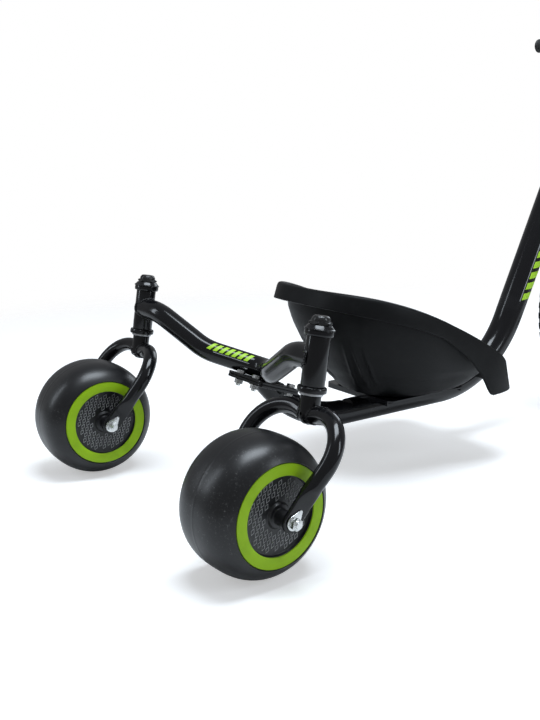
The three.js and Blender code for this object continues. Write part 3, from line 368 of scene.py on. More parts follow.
for word in ("left", "right"):
    still, steered = swivels[word], casters[word]
    headset(
        f"caster_{word}", swivel_tube, swivel_bore, caster_steerer, steered @ lift(swivel_height), still,
        still @ lift(swivel_height), f"{word}_caster",
        [f"caster_{end}_{word}" for end in ("upper_cup", "lower_cup", "cone")],
    )
    crown_race(f"caster_crown_race_{word}", swivel_tube, caster_steerer, steered, f"{word}_caster")
head_place, head_top = steering @ lift(head_foot), steering @ lift(head_foot + head_length)
headset(
    "front", head_tube_outer, head_tube_bore, front_steerer, head_top, head_place, head_top, "steering",
    ["front_upper_cup", "front_lower_cup", "front_cone"],
)
crown_race("front_crown_race", front_race, front_steerer, head_place, "steering")


# Rear casters: an arch of two steel legs is welded to a steerer that turns in its swivel tube. The round
# legs are squeezed flat round the axle, and a black plastic cap hides the lock nut on top.
def bent(corners, radii, pace=3):
    """Points every few millimetres along straight runs that are joined by an arc at each inner corner."""
    points = []
    start = corners[0]
    for before, corner, after, radius in zip(corners, corners[1:], corners[2:], radii):
        a, b = (corner - before).normalized(), (after - corner).normalized()
        angle = a.angle(b)
        normal = a.cross(b).normalized()
        foot = corner - a * radius * math.tan(angle / 2)
        run = max(2, int((foot - start).length / pace))
        points += [start.lerp(foot, t / run) for t in range(run)]
        centre = foot + normal.cross(a) * radius
        arc = max(3, int(radius * angle / pace))
        for t in range(arc):
            points.append(centre + Matrix.Rotation(angle * t / arc, 3, normal) @ (foot - centre))
        start = centre + Matrix.Rotation(angle, 3, normal) @ (foot - centre)
    run = max(2, int((corners[-1] - start).length / pace))
    return points + [start.lerp(corners[-1], t / run) for t in range(run + 1)]


def drawn(name, spine, section, across, place, body, finish, sides, replaces=()):
    """A tube along a spine in millimetres. section takes the share of its length and gives two half sizes
    and a roundness; the first half size lies along across."""
    lengths = np.concatenate([[0], np.cumsum([(b - a).length for a, b in zip(spine, spine[1:])])])
    rings = []
    for k, point in enumerate(spine):
        tangent = (spine[min(k + 1, len(spine) - 1)] - spine[max(k - 1, 0)]).normalized()
        a = (across - tangent * across.dot(tangent)).normalized()
        b = tangent.cross(a)
        half_a, half_b, roundness = section(lengths[k] / lengths[-1])
        ring = []
        for angle in np.linspace(0, 2 * math.pi, sides, endpoint=False):
            c, s = math.cos(angle), math.sin(angle)
            u = half_a * math.copysign(abs(c) ** (2 / roundness), c)
            w = half_b * math.copysign(abs(s) ** (2 / roundness), s)
            ring.append(place @ ((point + a * u + b * w) * mm))
        rings.append(ring)
    return skinned(name, [rings], body, finish, replaces=replaces)


def merged(pieces, name):
    """One piece from several that are fastened for good."""
    with bpy.context.temp_override(active_object=pieces[0], selected_editable_objects=pieces):
        bpy.ops.object.join()
    pieces[0].name = name
    return pieces[0]


def bearing_tube(name, outer, inner, length, place):
    """A painted tube of the frame that a steerer turns in."""
    outline = [(inner, 0), (outer, 0, 0.7), (outer, length, 0.7), (inner, length)]
    return turned(name, outline, place, "frame", black_paint, 64, 2)


nut_sides, nut_face_share, cone_share, nut_edge = 72, 0.485, 0.6, 0.15


def nut(name, flats, low, high, bore, place, body, finish, replaces=()):
    """A hexagon nut or bolt head, whose corners are turned off to a cone at both ends."""
    angles = np.linspace(0, 2 * math.pi, nut_sides, endpoint=False)
    wide = flats / 2 / np.cos(np.abs((angles + math.pi / 6) % (math.pi / 3) - math.pi / 6))
    turned_off = (wide - flats / 2) * cone_share
    even = lambda value: np.full(nut_sides, value)
    levels = [
        (even(bore), even(low)),
        (even(flats * nut_face_share), even(low)),
        (wide, low + turned_off + nut_edge),
        (wide, high - turned_off - nut_edge),
        (even(flats * nut_face_share), even(high)),
        (even(bore), even(high)),
    ]
    rings = [
        [place @ (Vector((r * math.cos(a), r * math.sin(a), z)) * mm) for r, a, z in zip(wides, angles, zs)]
        for wides, zs in levels
    ]
    return skinned(name, [rings], body, finish, closed=True, replaces=replaces)


bead_pace, ripple_pitch, ripple_share, waver_share = 0.9, 3.4, 0.13, 0.08


def bead(name, loop, place, body, width):
    """A weld bead round a closed loop of points in millimetres, with the small ripples of its passes."""
    loop = np.array([list(point) for point in loop])
    lengths = np.linalg.norm(np.roll(loop, -1, axis=0) - loop, axis=1)
    total = lengths.sum()
    marks = np.concatenate([[0], np.cumsum(lengths)])
    closed = np.vstack([loop, loop[:1]])
    steps = max(60, int(total / bead_pace))
    at = np.linspace(0, total, steps, endpoint=False)
    points = np.stack([np.interp(at, marks, closed[:, axis]) for axis in range(3)], axis=1)
    centre = points.mean(axis=0)
    ripples = max(8, round(total / ripple_pitch))
    rings = []
    for k, point in enumerate(points):
        tangent = Vector(points[(k + 1) % steps] - points[k - 1]).normalized()
        a = Vector(point - centre)
        a = (a - tangent * a.dot(tangent)).normalized()
        b = tangent.cross(a)
        ripple, waver = math.sin(2 * math.pi * ripples * k / steps), math.sin(k * 0.37)
        size = width * (1 + ripple_share * ripple + waver_share * waver)
        rings.append([
            place @ ((Vector(point) + (a * math.cos(t) + b * math.sin(t)) * size) * mm)
            for t in np.linspace(0, 2 * math.pi, 10, endpoint=False)
        ])
    return skinned(name, [rings], body, black_paint, closed=True)


def meeting(start, along, radius, foot, axis, target):
    """Where a tube from start runs into a tube of radius target round an axis: points round its outside."""
    start, along, foot, axis = (Vector(value) for value in (start, along, foot, axis))
    along.normalize()
    axis.normalize()
    a = (axis - along * axis.dot(along)).normalized()
    b = along.cross(a)
    points = []
    for angle in np.linspace(0, 2 * math.pi, 72, endpoint=False):
        edge = start + (a * math.cos(angle) + b * math.sin(angle)) * radius
        line = along - axis * along.dot(axis)
        gap = (edge - foot) - axis * (edge - foot).dot(axis)
        middle = -gap.dot(line) / line.dot(line)
        nearest = (gap + line * middle).length
        back = math.sqrt(max(target ** 2 - nearest ** 2, 0)) / line.length
        points.append(edge + along * (middle - back))
    return points


cap_plastic = Finish("cap_plastic", "cap_plastic")
cap_colour, cap_dust = dusty(cap_plastic, (0.009, 0.009, 0.0095), (0.05, 0.05, 0.048), 0.35, 30)
cap_plastic.feed(
    Base_Color=cap_colour,
    Roughness=0.26 + cap_dust * 0.4,
    Normal=cap_plastic.bump(cap_plastic.noise(700, 2), 0.0001, 0.35),
)

leg_corners = [
    Vector((0, 0, -45)), Vector((2.5, 116, -8)), Vector((-54, 84, -128)), Vector((-81.5, 84, -169)),
]
leg_bends = [61, 29]
leg_radius, paddle_half, paddle_thin = 12.7, 15.5, 3.5
squeeze_length, squeeze_start = 36, 26
leg_line = (leg_corners[3] - leg_corners[2]).normalized()
leg_across = Vector((0, 1, 0)).cross(leg_line)
tip_turn = np.linspace(0, math.pi / 2, 12)[1:]


def caster_leg(word, label, sign):
    spine = bent(leg_corners, leg_bends, 2.5)
    straight = sum((b - a).length for a, b in zip(spine, spine[1:]))
    spine += [leg_corners[3] + leg_line * paddle_half * math.sin(turn) for turn in tip_turn]
    length = straight + paddle_half

    def section(share):
        left = length * (1 - share) - paddle_half
        flat = min(max((squeeze_length + squeeze_start - left) / squeeze_length, 0), 1)
        flat = flat * flat * (3 - 2 * flat)
        tip = math.sqrt(max(1 - (min(left, 0) / paddle_half) ** 2, 0.003))
        wide = leg_radius + (paddle_half - leg_radius) * flat
        thin = leg_radius + (paddle_thin - leg_radius) * flat
        return wide * tip, thin * (0.6 + 0.4 * tip), 2 + 3.2 * flat

    place = casters[word] @ Matrix.Scale(sign, 4, (0, 1, 0))
    name = f"caster_leg_{label}_{word}"
    return drawn(name, spine, section, leg_across, place, f"{word}_caster", black_paint, 44)


def holed(piece, cutters):
    """Cuts pieces out of another one for good."""
    for cutter in cutters:
        cut = piece.modifiers.new("cut", "BOOLEAN")
        cut.object = cutter
        cut.operation = "DIFFERENCE"
        cut.solver = "EXACT"
    shaped = bpy.data.meshes.new_from_object(piece.evaluated_get(bpy.context.evaluated_depsgraph_get()))
    piece.modifiers.clear()
    piece.data = shaped
    for cutter in cutters:
        bpy.data.objects.remove(cutter)
    smoothed(piece)
    return piece


def cutting_rod(radius, low, high, place):
    bpy.ops.mesh.primitive_cylinder_add(vertices=32, radius=radius * mm, depth=(high - low) * mm)
    cutter = bpy.context.object
    cutter.data.transform(Matrix.Translation((0, 0, (high + low) / 2 * mm)))
    cutter.matrix_world = place
    return cutter


stub_radius, drain_radius, drain_height = 15.5, 2.2, -40.5
# Low end, high end and bore of a nut or a bolt head, here and below.
cap_flats, cap_levels = 31, (16.3, 21.3, 12.8)
for word, side in (("left", 1), ("right", -1)):
    body, place, still = f"{word}_caster", casters[word], swivels[word]
    bearing_tube(f"swivel_tube_{word}", swivel_tube, swivel_bore, swivel_height, still)
    legs = [caster_leg(word, "outer", side), caster_leg(word, "inner", -side)]
    stub = turned(f"caster_stub_{word}", [
        (12.5, -47.75), (stub_radius, -47.75, 0.7), (stub_radius, -12.75, 0.7), (caster_steerer, -12.75),
        (caster_steerer, 95.5, 0.8), (9.8, 95.5), (9.8, -16), (12.5, -16),
    ], place, body, black_paint)
    drain = place @ lift(drain_height) @ Matrix.Rotation(-math.pi / 2, 4, "Y")
    holed(stub, [cutting_rod(drain_radius, 5, 30, drain)])
    start, toward = leg_corners[0], leg_corners[1] - leg_corners[0]
    for label, sign in (("outer", side), ("inner", -side)):
        mirror = Matrix.Scale(sign, 4, (0, 1, 0))
        loop = meeting(start + toward, -toward, leg_radius, (0, 0, 0), (0, 0, 1), stub_radius)
        bead(f"caster_weld_{label}_{word}", loop, place @ mirror, body, width=1.7)
    merged([stub, *legs], f"caster_arch_{word}")
    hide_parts(f"caster_fork_{word}")
    top = place @ lift(swivel_height)
    turned(f"lock_cap_dome_{word}", [
        (0.01, 16.4), (14.25, 16.4), (14.1, 24.5, 3), (12.4, 27.6, 3), (10.2, 29.3, 1.2), (0.01, 29.5),
    ], top, body, cap_plastic, replaces=[f"caster_lock_cap_{word}"])
    nut(f"lock_cap_nut_{word}", cap_flats, *cap_levels, top, body, cap_plastic)


# Rear wheels: hollow barrels of scuffed black plastic, moulded in two halves that meet in a faint line round
# the tread. A painted ring is sprung into each face, and each turns on a long zinc-plated bolt with a nut and
# a tab washer on either side.
zinc = Finish("bright_zinc", "zinc")
zinc_cloud = zinc.noise(240, 4)
zinc.feed(
    Base_Color=zinc.mix(zinc_cloud, (0.55, 0.56, 0.56, 1), (0.86, 0.87, 0.86, 1)),
    Metallic=1.0,
    Roughness=0.16 + zinc_cloud * 0.22,
    Normal=zinc.bump(zinc.noise(900, 2), 0.00008, 0.5),
)

wheel_plastic = Finish("scuffed_wheel_plastic", "wheel_plastic")
blown = wheel_plastic.noise(14, 5, 0.6)
scuffs = wheel_plastic.step(wheel_plastic.noise(260, 6, 0.8), 0.56, 0.68)
wheel_patches = wheel_plastic.step(wheel_plastic.noise(6, 4, 0.6), 0.44, 0.62)
wheel_wear = scuffs * wheel_patches
wheel_colour = wheel_plastic.mix(wheel_wear * 0.8, (0.0038, 0.0038, 0.0046, 1), (0.15, 0.15, 0.147, 1))
wheel_plastic.feed(
    Base_Color=wheel_plastic.mix(blown * 0.3, wheel_colour, (0.01, 0.0106, 0.012, 1)),
    Roughness=0.38 + wheel_wear * 0.3 + blown * 0.1,
    Specular_IOR_Level=0.2,
    Coat_Weight=0.55,
    Coat_Roughness=0.3,
    Normal=wheel_plastic.bump(
        wheel_plastic.noise(420, 3, 0.7), 0.00012, 0.5,
        wheel_plastic.bump(blown, 0.0012, 0.35),
    ),
)
lime_trim = Finish("lime_ring_paint", "lime_trim")
lime_cloud = lime_trim.noise(26, 4, 0.62)
lime_fading = lime_trim.step(lime_cloud, 0.45, 0.8) * 0.5
lime_trim.feed(
    Base_Color=lime_trim.mix(lime_fading, (0.29, 0.5, 0.006, 1), (0.16, 0.31, 0.006, 1)),
    Roughness=0.36 + lime_cloud * 0.2,
    Specular_IOR_Level=0.25,
    Normal=lime_trim.bump(lime_trim.noise(330, 2), 0.0001, 0.4),
)

wheel_radius, crown_half, crown_round, parting_line = 104.88, 75.5, 2.94, 0.12
disc_face = 55.5
crown = lambda y: wheel_radius * (1 - abs(y / crown_half) ** crown_round) ** (1 / crown_round)
crown_y = np.concatenate([np.linspace(62.9, 40, 12), np.linspace(36, 1.3, 10)])
half_wheel = [
    (5.3, 80.2), (12, 80.2, 0.8), (12, 59.5, 1.5), (17.5, 59.5, 1), (19.5, disc_face, 1.5),
    (57.4, disc_face, 1.5), (57.9, 60.4, 0.6), (76.2, 60.4, 0.3), (76.6, 62.4, 0.6), (77.8, 63.5, 1.1),
    *[(crown(y), y) for y in crown_y], (wheel_radius + parting_line, 0.5),
]


def mirrored(outline):
    """The other half of a turned piece's outline, in the order in which it goes on."""
    return [(radius, -height, *corner) for radius, height, *corner in reversed(outline)]


grey_moulding = Finish("grey_moulding", "wheel_plastic")
moulding_cloud = grey_moulding.noise(300, 3)
grey_moulding.feed(
    Base_Color=grey_moulding.mix(moulding_cloud, (0.17, 0.17, 0.172, 1), (0.42, 0.42, 0.42, 1)),
    Roughness=0.35 + moulding_cloud * 0.25,
)
row_pitch, row_shift, mark_pitch = 8.2, 1.5, 10.4
pattern_inner, pattern_outer = 25, 51.5
mark_corners = np.array([(-4.6, -3.1), (1.6, -3.1), (4.6, 3.1), (-1.6, 3.1)])
mark_section = [(1, -0.4), (1, 0.35), (0.93, 0.55), (0.83, 0.55), (0.74, 0.35), (0.74, -0.4)]
lean_cos, lean_sin = 0.82, 0.57


def disc_marks(face, place):
    """Raised outlines in slanting rows on a recessed disc, each a frame round a small leaning window."""
    marks = []
    for row in range(-7, 8):
        for step in range(-7, 8):
            along = mark_pitch * (step + 0.5 * (row % 2)) + row_shift * row
            centre = np.array([along, row_pitch * row])
            if not pattern_inner < np.linalg.norm(centre) < pattern_outer:
                continue
            rings = []
            for corner in mark_corners:
                ring = []
                for share, rise in mark_section:
                    x, y = centre + corner * share
                    turned_x, turned_y = lean_cos * x - lean_sin * y, lean_sin * x + lean_cos * y
                    z = disc_face + rise
                    ring.append(place @ (Vector((turned_x * face, turned_y, z * face)) * mm))
                rings.append(ring)
            marks.append(rings)
    return marks


def shank(name, radius, low, high, place, body, replaces=()):
    """A round zinc bolt shank along place's Z, with both ends broken by a small round."""
    outline = [(0.01, low), (radius, low, 0.8), (radius, high, 0.8), (0.01, high)]
    return turned(name, outline, place, body, zinc, 40, 2, replaces)


axle_place = Matrix.Translation((-0.0815, 0, -0.169))
ring_outline = [(58.4, 60.7), (75.8, 60.7), (75.8, 62.6, 0.7), (67, 63.1), (58.4, 62.6, 0.7)]
axle_radius, axle_end, axle_flats = 5, 101, 16
axle_head_levels, axle_nut_levels = (-97.7, -89.6, 4.5), (90.2, 97.9, 5.1)
for word, side in (("left", 1), ("right", -1)):
    body = f"{word}_rear_wheel"
    spun = casters[word] @ axle_place @ Matrix.Rotation(-side * math.pi / 2, 4, "X")
    wheel_outline = half_wheel + mirrored(half_wheel)
    barrel = turned(f"wheel_barrel_{word}", wheel_outline, spun, body, wheel_plastic, 128, 3)
    marks = disc_marks(1, spun) + disc_marks(-1, spun)
    skinned(f"disc_pattern_{word}", marks, body, grey_moulding, closed=True)
    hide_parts(f"rear_wheel_{word}")
    for label, outline in (("outer", ring_outline), ("inner", mirrored(ring_outline))):
        name = f"wheel_ring_{label}_{word}"
        turned(name, outline, spun, body, lime_trim, 128, 3, [f"rear_ring_{label}_{word}"])
    fork = f"{word}_caster"
    bolt = [f"rear_axle_bolt_{word}"]
    shank(f"axle_shank_{word}", axle_radius, -axle_end, axle_end, spun, fork, bolt)
    nut(f"axle_head_{word}", axle_flats, *axle_head_levels, spun, fork, zinc)
    nut(f"axle_nut_{word}", axle_flats, *axle_nut_levels, spun, fork, zinc, [f"rear_axle_nut_{word}"])
    collar = [(5.1, 97.7), (7.1, 97.7), (6.9, 99.4, 0.8), (5.1, 99.4)]
    turned(f"axle_collar_{word}", collar, spun, fork, zinc)


def slab(name, outline, low, high, place, body, finish, edge, replaces=()):
    """A flat plate: an outline of (x, y, corner radius) in millimetres, with slightly rounded cut edges."""
    points = np.array(rounded(outline, 6))
    before, after = np.roll(points, 1, axis=0), np.roll(points, -1, axis=0)
    tangent = after - before
    normal = np.stack([tangent[:, 1], -tangent[:, 0]], axis=1)
    normal /= np.linalg.norm(normal, axis=1)[:, None]
    area = (before[:, 0] * points[:, 1] - points[:, 0] * before[:, 1]).sum()
    inward = -normal if area > 0 else normal
    levels = [
        (low, edge), (low + edge * 0.3, edge * 0.3), (low + edge, 0), (high - edge, 0),
        (high - edge * 0.3, edge * 0.3), (high, edge),
    ]
    rings = [
        [place @ Vector((x * mm, y * mm, z * mm)) for x, y in points + inward * inset]
        for z, inset in levels
    ]
    return skinned(name, [rings], body, finish, replaces=replaces)


tab_angle = math.atan2(-leg_line.z, -leg_line.x)
washer_radius, washer_low, washer_high, tab_reach, tab_tip = 11, 88.2, 89.7, 17.5, 3
tab_lean = math.acos((washer_radius - tab_tip) / tab_reach)
washer_outline = [
    (washer_radius * math.cos(t), washer_radius * math.sin(t))
    for t in np.linspace(tab_lean, 2 * math.pi - tab_lean, 40)
] + [
    (tab_reach + tab_tip * math.cos(t), tab_tip * math.sin(t)) for t in np.linspace(-tab_lean, tab_lean, 12)
]
for word, side in (("left", 1), ("right", -1)):
    leaning = casters[word] @ axle_place @ Matrix.Rotation(-tab_angle, 4, "Y")
    for label, way in (("outer", side), ("inner", -side)):
        slab(
            f"tab_washer_{label}_{word}", washer_outline, washer_low, washer_high,
            leaning @ Matrix.Rotation(-way * math.pi / 2, 4, "X"), f"{word}_caster", zinc, 0.35,
            [f"rear_axle_washer_{word}"] if label == "outer" else [],
        )


# Crossbar: one steel tube bent like a gull's wing and swept forward to its middle, with a swivel tube welded
# to each end and a plate under its nose. Four bolts hold it to the plate on the main frame, and vinyl stripes
# mark one side.
def over_the_middle(half):
    """The corners of a bent tube's other half, in the order in which it goes on."""
    return [Vector((x, -y, z)) for x, y, z in reversed(half)]


crossbar_radius = 19
crossbar_half = [Vector((-6, 264.5, 300)), Vector((-2, 212, 298)), Vector((32, 103, 242))]
crossbar_nose = Vector((103, 0, 213))
crossbar_bends = [90, 120, 45, 120, 90]
crossbar_corners = [*crossbar_half, crossbar_nose, *over_the_middle(crossbar_half)]
crossbar_spine = bent(crossbar_corners, crossbar_bends)
crossbar = drawn(
    "crossbar_tube", crossbar_spine, lambda share: (crossbar_radius, crossbar_radius, 2), Vector((0, 0, 1)),
    row_origin, "frame", black_paint, 56,
)
swivel_axis = Vector((math.sin(swivel_lean), 0, math.cos(swivel_lean)))
for word, side in (("left", 1), ("right", -1)):
    end, shoulder = (Vector((x, side * y, z)) for x, y, z in crossbar_half[:2])
    loop = meeting(shoulder, end - shoulder, crossbar_radius, swivel_feet[word], swivel_axis, swivel_tube)
    bead(f"swivel_weld_{word}", loop, row_origin, "frame", width=2.4)

join_lean, plate, plate_edge = math.radians(19), 5, 0.7
join = row_origin @ Matrix.Translation((0.094, 0, 0.197)) @ Matrix.Rotation(join_lean, 4, "Y")
join_outline = [(-50, -52, 8), (38, -52, 8), (38, 52, 8), (-50, 52, 8)]
upper_plate = slab("crossbar_plate", join_outline, -plate, 0, join, "frame", black_paint, plate_edge)
merged([crossbar, upper_plate], "crossbar_tube")
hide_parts("crossbar")
nose_middle, nose_half, nose_side, nose_bend, weld_height = 9.6, 13, 36, 0.0035, 0.6
nose_weld = [(
    nose_middle + nose_half * math.cos(t) - nose_bend * (nose_side * math.sin(t)) ** 2,
    nose_side * math.sin(t), weld_height,
) for t in np.linspace(0, 2 * math.pi, 90, endpoint=False)]
bead("nose_weld", nose_weld, join, "frame", width=2.3)
join_bolt, join_flats = 4, 13
join_head_levels, join_nut_levels = (0.3, 5.8, 0.01), (-18.1, -10.6, join_bolt - 0.1)
for k, (x, y) in enumerate([(-41, 24), (-41, -24), (26, 37), (26, -37)]):
    place = join @ Matrix.Translation((x * mm, y * mm, 0))
    bolt = [f"crossbar_bolt_{k + 1}"]
    nut(f"join_bolt_head_{k + 1}", join_flats, *join_head_levels, place, "frame", zinc, bolt)
    nut(f"join_bolt_nut_{k + 1}", join_flats, *join_nut_levels, place, "frame", zinc)
    shank(f"join_bolt_shank_{k + 1}", join_bolt, -21.8, 1, place, "frame")

lime_vinyl = Finish("lime_vinyl", "lime_trim")
vinyl_cloud = lime_vinyl.noise(60, 4)
lime_vinyl.feed(
    Base_Color=lime_vinyl.mix(vinyl_cloud * 0.4, (0.42, 0.72, 0.03, 1), (0.26, 0.5, 0.02, 1)),
    Roughness=0.3 + vinyl_cloud * 0.2,
    Specular_IOR_Level=0.4,
)
grey_vinyl = Finish("grey_vinyl", "lime_trim")
grey_cloud = grey_vinyl.noise(90, 4)
grey_vinyl.feed(
    Base_Color=grey_vinyl.mix(grey_cloud, (0.2, 0.21, 0.21, 1), (0.36, 0.37, 0.37, 1)),
    Roughness=0.42 + grey_cloud * 0.2,
    Specular_IOR_Level=0.25,
)


sticker_rise, sticker_depth = 0.22, 0.4


def wrapped(name, spine, radius, runs, finish):
    """A thin sticker on a tube. runs(t) gives, across the sticker, where along the spine it starts and ends
    in millimetres and the angle round the tube there, counted from its top."""
    marks = np.concatenate([[0], np.cumsum([(b - a).length for a, b in zip(spine, spine[1:])])])

    def at(along, angle, height):
        k = int(min(max(np.searchsorted(marks, along) - 1, 0), len(spine) - 2))
        share = (along - marks[k]) / (marks[k + 1] - marks[k])
        point = spine[k].lerp(spine[k + 1], share)
        coming = (spine[k + 1] - spine[max(k - 1, 0)]).normalized()
        going = (spine[min(k + 2, len(spine) - 1)] - spine[k]).normalized()
        tangent = coming.lerp(going, share).normalized()
        up = Vector((0, 0, 1))
        a = (up - tangent * up.dot(tangent)).normalized()
        b = tangent.cross(a)
        out = a * math.cos(angle) + b * math.sin(angle)
        return row_origin @ ((point + out * (radius(along) + height)) * mm)

    rings = []
    steps = max(3, int((runs(0)[1] - runs(0)[0]) / 5))
    for t in np.linspace(0, 1, 9):
        start, end, angle = runs(t)
        over = [at(along, angle, sticker_rise) for along in np.linspace(start, end, steps)]
        under = [at(along, angle, -sticker_depth) for along in np.linspace(end, start, steps)]
        rings.append(over + under)
    return skinned(name, [rings], "frame", finish)


stripe_count, stripe_start, stripe_pitch, stripe_width, stripe_slant = 7, 186, 12, 7.6, 9
stripe_low, stripe_high = math.radians(64), math.radians(18)
even_radius = lambda along: crossbar_radius
for k in range(stripe_count):
    start = stripe_start + stripe_pitch * k
    wrapped(f"crossbar_stripe_{k + 1}", crossbar_spine, even_radius, lambda t, start=start: (
        start + stripe_slant * t, start + stripe_slant * t + stripe_width,
        stripe_low + (stripe_high - stripe_low) * t,
    ), lime_vinyl)
wrapped("crossbar_stripe_edge", crossbar_spine, even_radius, lambda t: (
    stripe_start + 14, stripe_start + stripe_pitch * stripe_count - 1 + 3 * t,
    stripe_low + math.radians(9 - 4 * t),
), grey_vinyl)


# Main frame: one big steel tube that grows towards the front. It starts in a welded plate, dips under the
# seat, rises ahead of it and is welded to the steering head.
def steer_at(height):
    """A point on the steering axis, in millimetres."""
    return steering_foot + Vector((-height * math.sin(steering_lean), 0, height * math.cos(steering_lean)))


rear_turn, rear_run = math.radians(48.7), 160
riser_turn, riser_rise = math.radians(65), 460
main_low, main_front, main_meets = Vector((168, 0, 108)), Vector((667, 0, 115)), 392
main_top = main_front + Vector((riser_rise / math.tan(riser_turn), 0, riser_rise))
main_rear = main_low + Vector((-math.cos(rear_turn), 0, math.sin(rear_turn))) * rear_run
main_bends = [226, 230, 150]
main_spine = bent([main_rear, main_low, main_front, main_top, steer_at(main_meets)], main_bends, 5)
main_length = sum((b - a).length for a, b in zip(main_spine, main_spine[1:]))
main_rear_radius, main_growth, growth_share = 21, 7.5, 0.62


def main_radius(along):
    return main_rear_radius + main_growth * min(along / main_length / growth_share, 1)


main_tube = drawn(
    "main_tube", main_spine, lambda share: (main_radius(share * main_length),) * 2 + (2,), Vector((0, 1, 0)),
    row_origin, "frame", black_paint, 64,
)
plate_top = -plate - clearance
trimmer_size = 400
bpy.ops.mesh.primitive_cube_add(size=trimmer_size * mm)
trimmer = bpy.context.object
trimmer.matrix_world = join @ lift(trimmer_size / 2 + plate_top)
holed(main_tube, [trimmer])
head_tube = bearing_tube("head_tube", head_tube_outer, head_tube_bore, head_length, head_place)
lower_plate = slab(
    "frame_plate", join_outline, plate_top - plate, plate_top, join, "frame", black_paint, plate_edge,
)
foot_middle, foot_half, foot_side, foot_end = 11.7, 43.5, 21.5, 37
foot_weld = [(
    min(foot_middle + foot_half * math.cos(t), foot_end), foot_side * math.sin(t),
    plate_top - plate - weld_height,
) for t in np.linspace(0, 2 * math.pi, 120, endpoint=False)]
bead("frame_plate_weld", foot_weld, join, "frame", width=2.4)
head_line, head_axis = steer_at(main_meets) - main_top, steer_at(head_length) - steer_at(0)
loop = meeting(
    main_top, head_line, main_rear_radius + main_growth, steer_at(head_foot), head_axis, head_tube_outer,
)
bead("head_weld", loop, row_origin, "frame", width=2.6)
merged([main_tube, head_tube, lower_plate], "main_tube")
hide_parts("main_frame")

riser_count, riser_start, riser_pitch, riser_width, riser_slant = 9, 796, 24, 15, 16
for k in range(riser_count):
    start = riser_start + riser_pitch * k
    for side, label in ((1, "right"), (-1, "left")):
        wrapped(f"riser_stripe_{label}_{k + 1}", main_spine, main_radius, lambda t, start=start, side=side: (
            start + riser_slant * t, start + riser_slant * t + riser_width, side * math.radians(74 + 56 * t),
        ), lime_vinyl)
for side, label in ((1, "right"), (-1, "left")):
    wrapped(f"riser_stripe_edge_{label}", main_spine, main_radius, lambda t, side=side: (
        riser_start - 4, riser_start + riser_pitch * riser_count, side * math.radians(66 + 3 * t),
    ), grey_vinyl)


# Seat: a blow-moulded bucket of finely grained black plastic. Its skirted rim is level at the back, falls
# along the sides and drops over the thighs at the front. Three leaning ribs stand at each rear corner of the
# bowl, over a shallow step.
seat_plastic = Finish("grained_seat_plastic", "seat_plastic")
seat_cloud = seat_plastic.noise(11, 4)
seat_dust = seat_plastic.step(seat_plastic.noise(32, 6, 0.68), 0.5, 0.8)
seat_grain = seat_plastic.node(
    "TexVoronoi", {"feature": "F1"}, {"Vector": seat_plastic.place(), "Scale": 1500.0},
)
seat_base = seat_plastic.mix(seat_cloud, (0.0042, 0.0044, 0.0048, 1), (0.0075, 0.0077, 0.008, 1))
seat_plastic.feed(
    Base_Color=seat_plastic.mix(seat_dust * 0.3, seat_base, (0.024, 0.024, 0.0236, 1)),
    Roughness=0.4 + seat_dust * 0.22 + seat_cloud * 0.06,
    Specular_IOR_Level=0.12,
    Normal=seat_plastic.bump(
        seat_grain, 0.0001, 0.45, seat_plastic.bump(seat_plastic.noise(5, 2), 0.002, 0.2),
    ),
)

seat_rear, seat_length, seat_side = 167, 425, 166
seat_nose = seat_rear + seat_length
seat_sides = 384
seat_turn = np.arange(seat_sides) * 2 * math.pi / seat_sides
pan, wall = 144.3, 4
rim_top, rim_fall, rim_dip, skirt_top, skirt_foot = 355, 164, 14, 327, 139
rear_round, nose_round, rim_setback, skirt_flare = 2.7, 6, 16, 9
skirt_places = [0, 0.165, 0.335, 0.486, 0.613, 0.689, 0.72, 0.785, 1]
skirt_falls = [0, 0.095, 0.204, 0.34, 0.524, 0.7, 0.77, 1, 1]
# Rear and front inset as shares of the length, half width, roundness and rise, each at back and front.
bowl_shares = np.array([
    [0.34, 0.26, 0.5, 2.2, 3.5, 0, 0],
    [0.29, 0.185, 0.62, 2.2, 4, 0.035, 0.08],
    [0.215, 0.105, 0.74, 2.3, 4.5, 0.22, 0.5],
    [0.095, 0.08, 0.86, 2.5, 5, 0.58, 0.76],
    [0.045, 0.065, 0.925, 2.7, 5.5, 0.93, 0.95],
])


def flowing(table, steps):
    """Rows between the rows of a table, on a smooth curve through them."""
    padded = np.vstack([2 * table[0] - table[1], table, 2 * table[-1] - table[-2]])
    made = []
    for k in range(1, len(table)):
        a, b, c, d = padded[k - 1:k + 3]
        for t in np.linspace(0, 1, steps, endpoint=False):
            square, cube = 2 * a - 5 * b + 4 * c - d, 3 * b - a - 3 * c + d
            made.append(0.5 * (2 * b + (c - a) * t + square * t ** 2 + cube * t ** 3))
    return np.array(made + [table[-1]])


def rim_height(share, across):
    return rim_top - rim_fall * share ** 1.47 - rim_dip * share ** 8 * (1 - across ** 2)


def skirt_height(share, across):
    here, behind, ahead = (
        np.interp(share + step, skirt_places, skirt_falls) for step in (0, -0.02, 0.02)
    )
    return skirt_top - (skirt_top - skirt_foot) * (here + (behind + ahead) / 2) / 2


def seat_ring(rear, front, half, back_round, front_round, height):
    c, s = np.cos(seat_turn), np.sin(seat_turn)
    power = np.where(c < 0, 2 / back_round, 2 / front_round)
    along, across = np.sign(c) * np.abs(c) ** power, np.sign(s) * np.abs(s) ** power
    x = (rear + front) / 2 + (front - rear) / 2 * along
    return np.stack([x, half * across, height((1 + along) / 2, across)], axis=1)


